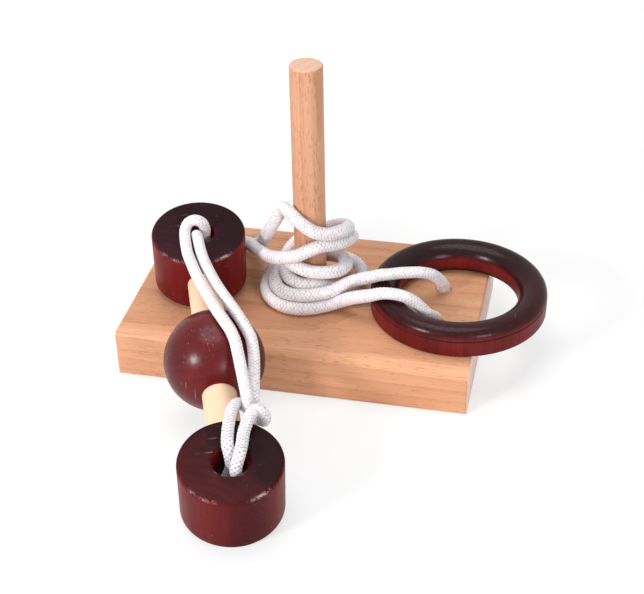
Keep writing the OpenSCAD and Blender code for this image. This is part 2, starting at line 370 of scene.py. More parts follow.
def emptied(owner: bpy.types.Material | bpy.types.World) -> Graph:
    """Clears the nodes that Blender starts with.

    Args:
        owner: a new material or world.

    Returns:
        Its empty graph.
    """
    owner.use_nodes = True
    owner.node_tree.nodes.clear()
    return Graph(owner.node_tree)


@dataclass(frozen=True)
class Effect:
    """A shader effect that more than one piece or finish uses, as a node group that is built once.

    Attributes:
        name: the group's name.
        inputs: the name, kind and first value of each input.
        outputs: the names of the outputs.
    """

    name: str
    inputs: tuple[tuple[str, str, float], ...]
    outputs: tuple[str, ...]

    def fill(self, graph: Graph, given: dict[str, Socket]) -> dict[str, Socket]:
        """Builds the nodes inside the group.

        Args:
            graph: the group's own graph.
            given: the group's input sockets, by name.

        Returns:
            The sockets that feed the group's outputs, by name.
        """
        raise NotImplementedError

    def group(self) -> bpy.types.NodeTree:
        """The node group, which is made at its first use.

        Returns:
            The group.
        """
        found = bpy.data.node_groups.get(self.name)
        if found:
            return found
        tree = bpy.data.node_groups.new(self.name, "ShaderNodeTree")
        for name, kind, value in self.inputs:
            socket = tree.interface.new_socket(name, in_out="INPUT", socket_type="NodeSocket" + kind)
            if kind == "Float":
                socket.default_value = value
        for name in self.outputs:
            tree.interface.new_socket(name, in_out="OUTPUT", socket_type="NodeSocketFloat")
        graph = Graph(tree)
        given = graph.add("NodeGroupInput").outputs
        made = self.fill(graph, {name: given[name] for name, _, _ in self.inputs})
        graph.add("NodeGroupOutput", made)
        return tree

    def use(self, graph: Graph, **inputs: Socket | float) -> bpy.types.bpy_prop_collection:
        """Places the group in a material's graph.

        Args:
            graph: the material's graph.
            inputs: what the group's inputs get, by their names in small letters.

        Returns:
            The group's output sockets.
        """
        node = graph.add("ShaderNodeGroup", node_tree=self.group())
        graph.feed(node, {name.replace("_", " ").capitalize(): value for name, value in inputs.items()})
        return node.outputs


PITH = (0.021, 0.034)


def from_pith(graph: Graph, place: Socket) -> Socket:
    """How far a place lies from the middle of the tree, which runs along X beside the piece.

    Args:
        graph: the graph to build in.
        place: the place.

    Returns:
        The distance.
    """
    split = graph.axes(place)
    aside = graph.plus(split[1], PITH[0])
    above = graph.plus(split[2], PITH[1])
    return graph.maths("SQRT", graph.plus(graph.times(aside, aside), graph.times(above, above)))


class WoodGrain(Effect):
    """Grain along the piece's own X: broad tone, growth lines, fine pores and dark ray flecks."""

    DRAWN_OUT = (0.12, 1.0, 1.0)
    TONE = Specks(95.0, 3.0, 0.55)
    DRIFT = Specks(26.0)
    LATE_WOOD = 3.0
    HAIRS = Specks((70.0, 2100.0, 2100.0), 2.0, 0.6)
    PORE_SPAN = (0.52, 0.72)
    DASHES = Specks((330.0, 2300.0, 2300.0), 1.0, 0.4)
    CLUSTERS = Specks((40.0, 160.0, 160.0), 1.0)
    CLUSTERING = 0.22
    FLECK_EDGE = 0.05

    def fill(self, graph: Graph, given: dict[str, Socket]) -> dict[str, Socket]:
        """Builds the grain from noise that is stretched along X.

        Args:
            graph: the graph to build in.
            given: the group's inputs, by name.

        Returns:
            What feeds each output, by name.
        """
        where = given["Place"]
        stretched = graph.vector("MULTIPLY", where, self.DRAWN_OUT)
        rings = graph.plus(graph.maths("DIVIDE", from_pith(graph, stretched), given["Ring width"]),
                           graph.times(graph.speckle(stretched, self.DRIFT), given["Wander"]))
        enough = graph.plus(graph.speckle(where, self.DASHES),
                            graph.times(graph.speckle(where, self.CLUSTERS), self.CLUSTERING))
        full = graph.plus(given["Fleck start"], self.FLECK_EDGE)
        return {
            "Tone": graph.speckle(stretched, self.TONE),
            "Growth": graph.maths("POWER", graph.maths("FRACT", rings), self.LATE_WOOD),
            "Pores": graph.span(graph.speckle(where, self.HAIRS), *self.PORE_SPAN, smooth=True),
            "Flecks": graph.span(enough, given["Fleck start"], full, smooth=True),
        }


class EndGrain(Effect):
    """Wood that is cut across: growth rings about the axis X and a fine dust of pores."""

    ACROSS = (0.0, 1.0, 1.0)
    BEND = Specks(60.0)
    BENDING = 1.4
    LATE_WOOD = 2.0
    DOTS = Specks(2600.0, 1.0)
    PORE_SPAN = (0.55, 0.72)

    def fill(self, graph: Graph, given: dict[str, Socket]) -> dict[str, Socket]:
        """Builds the rings and the pores from the place across the axis.

        Args:
            graph: the graph to build in.
            given: the group's inputs, by name.

        Returns:
            What feeds each output, by name.
        """
        flat = graph.vector("MULTIPLY", given["Place"], self.ACROSS)
        rings = graph.plus(graph.maths("DIVIDE", from_pith(graph, flat), given["Ring width"]),
                           graph.times(graph.speckle(flat, self.BEND), self.BENDING))
        return {
            "Growth": graph.maths("POWER", graph.maths("FRACT", rings), self.LATE_WOOD),
            "Pores": graph.span(graph.speckle(flat, self.DOTS), *self.PORE_SPAN, smooth=True),
        }


class Wear(Effect):
    """Where hands and edges have worn it: scuffed rims, thin scratches, and grit that breaks up the gloss. On
    the drums the scuffed rims are partly painted glints of light.
    """

    COARSE, COARSE_SPAN = Specks(420.0, 3.0, 0.7), (0.42, 0.62)
    FINE, FINE_SPAN, GRIT_SPAN = Specks(2600.0, 2.0, 0.6), (0.38, 0.6), (0.4, 0.6)
    PATCHES, PATCHES_SPAN = Specks(70.0, 1.0), (0.25, 0.5)
    SCRATCH_TURN = (0.5, 0.3, 0.8)
    SCRATCH_SCALE = (2600.0, 60.0, 900.0)
    LINES, LINES_SPAN = Specks(1.0, 1.0), (0.7, 0.76)
    RARE, RARE_SPAN = Specks(150.0, 1.0), (0.52, 0.6)
    DUST, DUST_SPAN = Specks(1500.0, 1.0), (0.7, 0.78)

    def fill(self, graph: Graph, given: dict[str, Socket]) -> dict[str, Socket]:
        """Builds the scuffs from the rim mask, and the scratches from stretched noise.

        Args:
            graph: the graph to build in.
            given: the group's inputs, by name.

        Returns:
            What feeds each output, by name.
        """
        place = given["Place"]
        fine = graph.speckle(place, self.FINE)
        grain = graph.times(graph.span(graph.speckle(place, self.COARSE), *self.COARSE_SPAN),
                            graph.span(fine, *self.FINE_SPAN))
        patchy = graph.span(graph.speckle(place, self.PATCHES), *self.PATCHES_SPAN)
        turned = graph.add("ShaderNodeMapping", {"Vector": place, "Rotation": self.SCRATCH_TURN,
                                                 "Scale": self.SCRATCH_SCALE}).outputs[0]
        return {
            "Scuffs": graph.times(grain, graph.times(given["Rim"], patchy)),
            "Scratches": graph.times(graph.span(graph.speckle(turned, self.LINES), *self.LINES_SPAN),
                                     graph.span(graph.speckle(place, self.RARE), *self.RARE_SPAN)),
            "Dust": graph.span(graph.speckle(place, self.DUST), *self.DUST_SPAN),
            "Grit": graph.span(fine, *self.GRIT_SPAN),
        }


class BraidWeave(Effect):
    """The strands of a braid, from the map that a cord carries: turns round it, and metres along it."""

    THREADS_IN_STRAND = 3
    EVEN_START = 2000.0
    GAP_SPAN = (0.28, 0.43)
    VALLEY_SPAN = (0.3, 0.5)

    def fill(self, graph: Graph, given: dict[str, Socket]) -> dict[str, Socket]:
        """Builds the strands in diamond cells, of which every second one shows the other way's strand.

        Args:
            graph: the graph to build in.
            given: the group's inputs, by name.

        Returns:
            What feeds each output, by name.
        """
        split = graph.axes(given["Map"])
        round_it = graph.times(split[0], given["Strands"])
        along = graph.maths("DIVIDE", split[1], given["Repeat"])
        ways = (graph.maths("SUBTRACT", round_it, along), graph.plus(round_it, along))
        parts = [graph.maths("FRACT", way) for way in ways]
        cell = graph.plus(*(graph.maths("FLOOR", way) for way in ways))
        odd = graph.maths("FRACT", graph.times(graph.plus(cell, self.EVEN_START), 0.5))
        odd = graph.maths("GREATER_THAN", odd, 0.25)
        turns = 2 * math.pi * self.THREADS_IN_STRAND
        waves = [graph.maths("SINE", graph.times(part, turns)) for part in parts]
        edges = [graph.maths("ABSOLUTE", graph.maths("SUBTRACT", part, 0.5)) for part in parts]
        return {
            "Threads": graph.add("ShaderNodeMix", {0: odd, 2: waves[0], 3: waves[1]}).outputs[0],
            "Gaps": graph.span(graph.maths("MINIMUM", *edges), *self.GAP_SPAN, smooth=True),
            "Valleys": graph.span(graph.maths("MAXIMUM", *edges), *self.VALLEY_SPAN, smooth=True),
        }


GRAIN = WoodGrain("wood grain", (
    ("Place", "Vector", 0.0), ("Ring width", "Float", 0.004), ("Wander", "Float", 2.0),
    ("Fleck start", "Float", 0.76)), ("Tone", "Growth", "Pores", "Flecks"))
END_GRAIN = EndGrain("end grain", (("Place", "Vector", 0.0), ("Ring width", "Float", 0.003)),
                     ("Growth", "Pores"))
WEAR = Wear("wear", (("Place", "Vector", 0.0), ("Rim", "Float", 0.0)),
            ("Scuffs", "Scratches", "Dust", "Grit"))
WEAVE = BraidWeave("braid weave", (
    ("Map", "Vector", 0.0), ("Strands", "Float", 6.0), ("Repeat", "Float", 0.0024)),
    ("Threads", "Gaps", "Valleys"))


# Finishes


def new_material(name: str) -> tuple[bpy.types.Material, Graph, bpy.types.Node]:
    """Makes an empty material.

    Args:
        name: its name.

    Returns:
        The material, its graph, and its Principled shader, which already feeds the output.
    """
    material = bpy.data.materials.new(name)
    graph = emptied(material)
    shader = graph.add("ShaderNodeBsdfPrincipled")
    graph.add("ShaderNodeOutputMaterial", {"Surface": shader.outputs[0]})
    return material, graph, shader


@dataclass(frozen=True)
class Wood:
    """What a pale and a stained wood share.

    Attributes:
        name: the material's name.
        turn: the rotation that lays the piece's grain along X.
        end_from: how far the grain points out of the surface where it begins to count as cut across.
        end_to: how far it does where it wholly counts so.
    """

    name: str
    turn: Point = (0.0, 0.0, 0.0)
    end_from: float = 0.6
    end_to: float = 0.85

    def surface(self, graph: Graph) -> tuple[Socket, Socket, Socket, bpy.types.bpy_prop_collection]:
        """Reads the piece's surface.

        Args:
            graph: the material's graph.

        Returns:
            The place in the piece's own coordinates, the same with the grain along X, how far the
            grain is cut across, and the outputs of the wear.
        """
        own = graph.add("ShaderNodeTexCoord")
        place, facing = (
            graph.add("ShaderNodeMapping", {"Vector": own.outputs[kind], "Rotation": self.turn}).outputs[0]
            for kind in ("Object", "Normal"))
        end = graph.span(graph.maths("ABSOLUTE", graph.axes(facing)[0]), self.end_from, self.end_to,
                         smooth=True)
        rim = graph.add("ShaderNodeAttribute", attribute_name="rim").outputs["Fac"]
        return own.outputs["Object"], place, end, WEAR.use(graph, place=place, rim=rim)


@dataclass(frozen=True)
class LightWood(Wood):
    """Clear-finished pale wood, with growth lines, pores and flecks in the darker line colour."""

    pale: Colour = (0.72, 0.385, 0.225, 1.0)
    deep: Colour = (0.60, 0.285, 0.150, 1.0)
    line: Colour = (0.33, 0.13, 0.065, 1.0)
    # The default end colour, which the board takes, is pale with a painted sheen, for its end faces seen at a
    # grazing angle.
    end: Colour = (0.80, 0.60, 0.53, 1.0)
    tone_span: tuple[float, float] = (0.3, 0.7)
    ring_width: float = 0.0042
    end_ring_share: float = 0.7
    wander: float = 2.6
    fleck_start: float = 0.77
    fleck_strength: float = 0.55
    growth_strength: float = 0.3
    pore_strength: float = 0.3
    end_growth: float = 0.35
    end_pores: float = 0.4
    scuffing: float = 0.5
    roughness: float = 0.42
    pore_roughness: float = 0.14
    scuff_roughness: float = 0.2
    tone_height: float = 0.4
    relief: float = 0.25
    relief_depth: float = 0.00006
    specular: float = 0.22

    def material(self) -> bpy.types.Material:
        """Builds the material in the piece's own coordinates.

        Returns:
            The material.
        """
        material, graph, shader = new_material(self.name)
        _, place, end, worn = self.surface(graph)
        grain = GRAIN.use(graph, place=place, ring_width=self.ring_width, wander=self.wander,
                          fleck_start=self.fleck_start)
        cut = END_GRAIN.use(graph, place=place, ring_width=self.ring_width * self.end_ring_share)
        long = graph.blend(graph.span(grain["Tone"], *self.tone_span), self.pale, self.deep)
        long = graph.tint(grain["Growth"], self.growth_strength, long, self.line)
        long = graph.tint(grain["Pores"], self.pore_strength, long, self.line)
        long = graph.tint(grain["Flecks"], self.fleck_strength, long, self.line)
        across = graph.tint(cut["Growth"], self.end_growth, self.end, self.deep)
        across = graph.tint(cut["Pores"], self.end_pores, across, self.line)
        colour = graph.tint(worn["Scuffs"], self.scuffing, graph.blend(end, long, across), self.pale)
        rough = graph.plus(graph.times(grain["Pores"], self.pore_roughness), self.roughness)
        rough = graph.plus(rough, graph.times(worn["Scuffs"], self.scuff_roughness), clamp=True)
        holes = graph.plus(grain["Pores"], graph.times(cut["Pores"], end))
        height = graph.maths("SUBTRACT", graph.times(grain["Tone"], self.tone_height), holes)
        graph.feed(shader, {"Base Color": colour, "Roughness": rough, "Specular IOR Level": self.specular,
                            "Normal": graph.bump(height, self.relief, self.relief_depth)})
        return material


@dataclass(frozen=True)
class StainedWood(Wood):
    """Dark red stain under lacquer, darker where the grain is cut across, which on faces that look up is
    partly painted shade.

    Attributes:
        streak: the colour of its grain.
        bare_and_glint: the colour under its scuffs and scratches, and of the dust in its lacquer. On the
            drums' rims it is also a painted glint of light.
        lean: the way along which the cut grain darkens, and reach how far that goes on.
        shade_stripe_angle: degrees round the piece, from its X, of a stripe of painted shade down its side.
        shade_stripe_strength: how dark that painted shade is.
        gloss: the lacquer's weight on its side, and end_gloss that on its cut grain.
        grit_gloss: the share of the gloss that is left between the grit.
    """

    side: Colour = (0.150, 0.0115, 0.0100, 1.0)
    streak: Colour = (0.055, 0.0060, 0.0080, 1.0)
    # The cut grain's colours are partly painted shade, for the tops that look up.
    end: Colour = (0.036, 0.0105, 0.0165, 1.0)
    end_dark: Colour = (0.017, 0.0060, 0.0085, 1.0)
    bare_and_glint: Colour = (0.60, 0.42, 0.42, 1.0)
    tone_span: tuple[float, float] = (0.35, 0.75)
    turn: Point = (0.0, math.pi / 2, 0.0)
    end_from: float = 0.55
    end_to: float = 0.95
    lean: Point = (-0.60, 0.80, 0.0)
    reach: float = 0.016
    lean_span: tuple[float, float] = (-0.3, 0.7)
    clouding: float = 0.9
    dark_span: tuple[float, float] = (0.1, 0.9)
    # A stripe of painted shade down the side: where it lies, how wide it is and how dark.
    shade_stripe_angle: float = 10.0
    shade_stripe_width: float = 46.0
    shade_stripe_strength: float = 0.0
    ring_width: float = 0.0035
    wander: float = 3.0
    misting: float = 0.8
    growth_strength: float = 0.35
    pore_strength: float = 0.3
    scuffing: float = 0.85
    scratching: float = 0.22
    dusting: float = 0.06
    roughness: float = 0.36
    pore_roughness: float = 0.12
    dust_roughness: float = 0.06
    grain_height: float = 0.6
    relief: float = 0.35
    relief_depth: float = 0.00008
    gloss: float = 0.12
    end_gloss: float = 0.02
    grit_gloss: float = 0.2
    specular: float = 0.03
    coat_roughness: float = 0.24

    CLOUDS = Specks(110.0)

    def shading(self, graph: Graph, own: Socket) -> tuple[Socket, Socket]:
        """Builds the broad darkening of the cut grain, along one way and in clouds, and a stripe of painted
        shade down the side.

        Args:
            graph: the material's graph.
            own: the place in the piece's own coordinates.

        Returns:
            How dark the cut grain is, and how dark the stripe of painted shade down the side is.
        """
        slope = graph.add("ShaderNodeVectorMath", {0: own, 1: self.lean},
                          operation="DOT_PRODUCT").outputs["Value"]
        cross = graph.plus(graph.span(slope, -self.reach, self.reach, *self.lean_span),
                           graph.times(graph.speckle(own, self.CLOUDS), self.clouding))
        split = graph.axes(own)
        bearing = graph.maths("ARCTAN2", split[1], split[0])
        off = graph.maths("ABSOLUTE", graph.maths("SUBTRACT", bearing, math.radians(self.shade_stripe_angle)))
        # Painted shade: a dark stripe down the side, round the angle given.
        stripe = graph.span(off, 0.0, math.radians(self.shade_stripe_width), self.shade_stripe_strength, 0.0, smooth=True)
        return graph.span(cross, *self.dark_span, smooth=True), stripe

    def material(self) -> bpy.types.Material:
        """Builds the material in the piece's own coordinates.

        Returns:
            The material.
        """
        material, graph, shader = new_material(self.name)
        own, place, end, worn = self.surface(graph)
        grain = GRAIN.use(graph, place=place, ring_width=self.ring_width, wander=self.wander)
        cut = END_GRAIN.use(graph, place=place, ring_width=self.ring_width)
        cross, stripe = self.shading(graph, own)
        long = graph.tint(graph.span(grain["Tone"], *self.tone_span), self.misting, self.side, self.streak)
        long = graph.tint(grain["Growth"], self.growth_strength, long, self.streak)
        long = graph.tint(grain["Pores"], self.pore_strength, long, self.streak)
        # The dark stripe down the side is painted shade.
        long = graph.blend(stripe, long, self.streak)
        across = graph.blend(cross, self.end, self.end_dark)
        across = graph.tint(cut["Growth"], self.growth_strength, across, self.end_dark)
        colour = graph.blend(end, long, across)
        # On the drums' rims the scuffs are partly painted glints of light. The scratches and the dust are
        # wear.
        wear = {"Scuffs": self.scuffing, "Scratches": self.scratching, "Dust": self.dusting}
        for mask, strength in wear.items():
            colour = graph.tint(worn[mask], strength, colour, self.bare_and_glint)
        rough = graph.plus(graph.times(grain["Pores"], self.pore_roughness), self.roughness)
        rough = graph.plus(rough, graph.times(worn["Dust"], self.dust_roughness), clamp=True)
        holes = graph.plus(graph.times(grain["Pores"], self.grain_height),
                           graph.plus(worn["Scratches"], worn["Scuffs"]))
        height = graph.maths("SUBTRACT", graph.times(grain["Tone"], self.grain_height), holes)
        gloss = graph.times(graph.span(end, 0.0, 1.0, self.gloss, self.end_gloss),
                            graph.span(worn["Grit"], 0.0, 1.0, self.grit_gloss, 1.0))
        graph.feed(shader, {"Base Color": colour, "Roughness": rough, "Coat Weight": gloss,
                            "Coat Roughness": self.coat_roughness, "Specular IOR Level": self.specular,
                            "Normal": graph.bump(height, self.relief, self.relief_depth)})
        return material


@dataclass(frozen=True)
class BraidedCotton:
    """White cord, with painted shade between its strands. Its strands part, and show dark gaps of painted
    shade, where the attribute "open" says so.

    Attributes:
        white: its colour.
        shade: the painted shade between its strands.
        gap: the painted shade in its gaps.
        closed_gap: how dark the gaps are where the strands lie close, and open_gap where they part.
    """

    name: str
    white: Colour = (0.84, 0.82, 0.83, 1.0)
    shade: Colour = (0.50, 0.40, 0.48, 1.0)
    gap: Colour = (0.10, 0.09, 0.12, 1.0)
    closed_gap: float = 0.10
    open_gap: float = 0.95
    patch_span: tuple[float, ...] = (0.38, 0.6, 0.1, 1.0)
    fibre_span: tuple[float, float] = (0.5, 0.75)
    fibre_shade: float = 0.2
    rough_span: tuple[float, ...] = (0.3, 0.7, 0.72, 0.92)
    thread_height: float = 0.35
    fibre_height: float = 0.6
    relief: float = 0.5
    relief_depth: float = 0.00006
    specular: float = 0.2
    sheen: float = 0.25
    sheen_roughness: float = 0.5

    PATCHES = Specks(620.0, 2.0, 0.6)
    FIBRES = Specks(5200.0, 2.0, 0.6)

    def material(self) -> bpy.types.Material:
        """Builds the material from the map that every cord carries.

        Returns:
            The material.
        """
        material, graph, shader = new_material(self.name)
        where = graph.add("ShaderNodeUVMap", uv_map=Braid.MAP).outputs[0]
        own = graph.add("ShaderNodeTexCoord").outputs["Object"]
        weave = WEAVE.use(graph, map=where, strands=float(Braid.strands), repeat=Braid.repeat)
        parted = graph.add("ShaderNodeAttribute", attribute_name="open").outputs["Fac"]
        fibres = graph.speckle(own, self.FIBRES)
        uneven = graph.span(graph.speckle(own, self.PATCHES), *self.patch_span)
        # Painted shade in the valleys between the strands.
        colour = graph.blend(graph.times(weave["Valleys"], uneven), self.white, self.shade)
        colour = graph.tint(graph.span(fibres, *self.fibre_span), self.fibre_shade, colour, self.shade)
        # Painted shade in the gaps, darker where the strands part.
        dark = graph.times(weave["Gaps"], graph.span(parted, 0.0, 1.0, self.closed_gap, self.open_gap))
        colour = graph.blend(dark, colour, self.gap)
        height = graph.plus(graph.times(weave["Threads"], self.thread_height),
                            graph.times(fibres, self.fibre_height))
        graph.feed(shader, {"Base Color": colour, "Roughness": graph.span(fibres, *self.rough_span),
                            "Specular IOR Level": self.specular, "Sheen Weight": self.sheen,
                            "Sheen Roughness": self.sheen_roughness,
                            "Normal": graph.bump(height, self.relief, self.relief_depth)})
        return material


# Turned wooden pieces


FINE_RUN = 0.0016
PLAIN_RUN = 0.002


@dataclass(frozen=True)
class Contour:
    """The half section of a turned piece.

    Attributes:
        points: the distance from the axis, the height and the rim wear of each point.
        closed: whether the last point joins the first.
    """

    QUARTERS = 4

    points: tuple[Point, ...]
    closed: bool = True

    @staticmethod
    def arc(r: float, z: float, radius: float, start: float, steps: int = 5, rim: float = 1.0,
            sweep: float = -90.0) -> list[Point]:
        """Points on an arc, with the rim's wear strongest at its middle.

        Args:
            r: how far the arc's centre is from the axis.
            z: how high the centre is.
            radius: the arc's radius.
            start: the angle, in degrees, where it starts.
            steps: how many steps it has.
            rim: the wear at its middle.
            sweep: how far it turns, in degrees, which is clockwise where it is negative.

        Returns:
            The points.
        """
        made = []
        for k in range(steps + 1):
            angle = math.radians(start + sweep * k / steps)
            worn = rim * math.sin(math.pi * (k + 0.5) / (steps + 1)) ** 2
            made.append((r + radius * math.cos(angle), z + radius * math.sin(angle), worn))
        return made

    @classmethod
    def of(cls, points: Sequence[Point], run: float = FINE_RUN, closed: bool = True) -> Contour:
        """Makes a contour, with more points on each long straight run.

        The wear of a rim fades out over the first and the last quarter of a run.

        Args:
            points: its corners and arcs.
            run: the longest run without a point.
            closed: whether the last point joins the first.

        Returns:
            The contour.
        """
        made: list[Point] = []
        ends = list(points[1:]) + ([points[0]] if closed else [])
        for a, b in zip(points, ends):
            count = max(1, math.ceil(math.dist(a[:2], b[:2]) / run))
            for k in range(count):
                t = k / count
                leaving = max(0.0, 1 - cls.QUARTERS * t)
                nearing = max(0.0, cls.QUARTERS * t - (cls.QUARTERS - 1))
                made.append((a[0] + (b[0] - a[0]) * t, a[1] + (b[1] - a[1]) * t,
                             leaving * a[2] + nearing * b[2]))
        if not closed:
            made.append(points[-1])
        return cls(tuple(made), closed)


@dataclass(frozen=True)
class Lathe:
    """Turns contours about the Z axis, with the small unevenness of a sanded piece.

    Attributes:
        segments: how many faces lie round a piece.
        unevenness: how far its surface wanders.
        waves: how many of those waves fit in a metre.
        nick: how deep a worn rim is chipped.
        chips: how many chips fit in a metre.
        chip_from: the height of their noise from which it is a chip.
        smooth_below: the angle between faces, in radians, up to which they look smooth.
        bore_segments: how many faces lie round a bored hole.
    """

    ON_AXIS = 1e-7

    segments: int = 112
    unevenness: float = 0.00004
    waves: float = 160.0
    nick: float = 0.00016
    chips: float = 900.0
    chip_from: float = 0.15
    smooth_below: float = 0.6
    bore_segments: int = 48

    @staticmethod
    def rim_wear_and_glint(angle: float, wear_and_painted_glint: Sequence[tuple[float, float]]) -> float:
        """How much of a rim's wear, which on the drums is partly a painted glint of light, is found at an
        angle.

        Args:
            angle: the angle round the piece, in radians.
            wear_and_painted_glint: the worn stretches, as turn takes them.

        Returns:
            A share from 0 to 1.
        """
        if not wear_and_painted_glint:
            return 1.0
        off = [abs((math.degrees(angle) - middle + 180) % 360 - 180) / half for middle, half in wear_and_painted_glint]
        return max(0.0, 1 - min(off) ** 2)

    def turn(self, name: str, contour: Contour, frame: Matrix, seed: float,
             wear_and_painted_glint: Sequence[tuple[float, float]] = ()) -> bpy.types.Object:
        """Turns a piece.

        Args:
            name: the object's name.
            contour: its half section.
            frame: where the piece's own axis lies.
            seed: where in the noise its unevenness starts.
            wear_and_painted_glint: the middle and half width, in degrees, of each stretch of rim that is
                worn, which on the drums is partly a painted glint of light, or none for all.

        Returns:
            The object.
        """
        bm = bmesh.new()
        rim_layer = bm.verts.layers.float.new("rim")
        rows = []
        for radius, height, rim in contour.points:
            row = []
            for k in range(1 if radius < self.ON_AXIS else self.segments):
                angle = 2 * math.pi * k / self.segments
                vert = bm.verts.new((radius * math.cos(angle), radius * math.sin(angle), height))
                vert[rim_layer] = rim * self.rim_wear_and_glint(angle, wear_and_painted_glint)
                row.append(vert)
            rows.append(row)
        pairs = list(zip(rows, rows[1:])) + ([(rows[-1], rows[0])] if contour.closed else [])
        for upper, lower in pairs:
            for k in range(self.segments):
                following = (k + 1) % self.segments
                if len(upper) == 1:
                    bm.faces.new((upper[0], lower[k], lower[following]))
                elif len(lower) == 1:
                    bm.faces.new((upper[k], lower[0], upper[following]))
                else:
                    bm.faces.new((upper[k], lower[k], lower[following], upper[following]))
        bmesh.ops.recalc_face_normals(bm, faces=bm.faces)
        bm.normal_update()
        for vert in bm.verts:
            place = vert.co + Vector((seed, 0, 0))
            wave = self.unevenness * noise.noise(place * self.waves)
            chip = self.nick * vert[rim_layer] * max(0.0, noise.noise(place * self.chips) - self.chip_from)
            vert.co += vert.normal * (wave - chip)
        mesh = bpy.data.meshes.new(name)
        bm.to_mesh(mesh)
        bm.free()
        mesh.shade_smooth()
        mesh.set_sharp_from_angle(angle=self.smooth_below)
        piece = bpy.data.objects.new(name, mesh)
        piece.matrix_world = frame
        bpy.context.collection.objects.link(piece)
        return piece

    def bore(self, piece: bpy.types.Object, frame: Matrix, radius: float, depth: float) -> None:
        """Cuts a round hole into a piece and leaves no modifier on it.

        Args:
            piece: the piece.
            frame: where the hole starts. It runs along +Z.
            radius: the hole's radius.
            depth: how deep it goes.
        """
        bm = bmesh.new()
        bmesh.ops.create_cone(bm, cap_ends=True, segments=self.bore_segments, radius1=radius, radius2=radius,
                              depth=depth, matrix=Matrix.Translation((0, 0, depth / 2)))
        mesh = bpy.data.meshes.new("cutter")
        bm.to_mesh(mesh)
        bm.free()
        cutter = bpy.data.objects.new("cutter", mesh)
        cutter.matrix_world = frame
        bpy.context.collection.objects.link(cutter)
        cut = piece.modifiers.new("bore", "BOOLEAN")
        cut.operation = "DIFFERENCE"
        cut.solver = "EXACT"
        cut.object = cutter
        bpy.context.view_layer.update()
        seen = piece.evaluated_get(bpy.context.evaluated_depsgraph_get())
        bored = bpy.data.meshes.new_from_object(seen)
        piece.modifiers.clear()
        old = piece.data
        piece.data = bored
        bored.name = piece.name
        bpy.data.meshes.remove(old)
        bpy.data.objects.remove(cutter)
        bpy.data.meshes.remove(mesh)


THROAT_WEAR = 0.6
MOUTH_WEAR = 0.3
CROWN_STEPS = 8


def collar(inner: float, outer: float, height: float, roundings: tuple[float, float, float, float],
           line: Sequence[Point] = ()) -> Contour:
    """The half section of a turned piece with a hole, from its lower face at height 0.

    Args:
        inner: radius of the hole.
        outer: radius of the piece.
        height: its height.
        roundings: radii at the upper inner, upper outer, lower outer and lower inner corners.
        line: points of a thin line that is cut in the side.

    Returns:
        The closed contour.
    """
    top_in, top_out, low_out, low_in = roundings
    return Contour.of(Contour.arc(inner + top_in, height - top_in, top_in, 180, rim=THROAT_WEAR)
                      + Contour.arc(outer - top_out, height - top_out, top_out, 90, steps=CROWN_STEPS)
                      + list(line)
                      + Contour.arc(outer - low_out, low_out, low_out, 0)
                      + Contour.arc(inner + low_in, low_in, low_in, -90, rim=MOUTH_WEAR))


@dataclass(frozen=True)
class Lie:
    """How the pieces lie: the top of the board, and the frame of the drums and the rod.

    Attributes:
        board_top: how high the board's top is.
        rear_drum: the middle of the rear drum.
        drum_pitch: how far apart the drums' middles are.
        rear_lift: how far the rear drum stands off the board, on the cord under it.
        heading: the way the rod points, in radians from +X.
    """

    board_top: float
    rear_drum: Point
    drum_pitch: float = 0.111
    rear_lift: float = 0.0006
    heading: float = math.radians(-69.1)

    def on_board(self) -> Matrix:
        """The frame at the post's foot, on the board."""
        return Matrix.Translation((0, 0, self.board_top))

    def on_rod(self, along: float = 0.0) -> Matrix:
        """The frame of the drums: X down the rod, Y across it to the right, Z up the bores.

        Args:
            along: how far down the rod it lies from the rear drum.

        Returns:
            The frame.
        """
        tilt = math.asin((self.board_top + self.rear_lift) / self.drum_pitch)
        return (Matrix.Translation(self.rear_drum) @ Matrix.Rotation(self.heading, 4, "Z")
                @ Matrix.Rotation(tilt, 4, "Y") @ Matrix.Translation((along, 0, 0)))


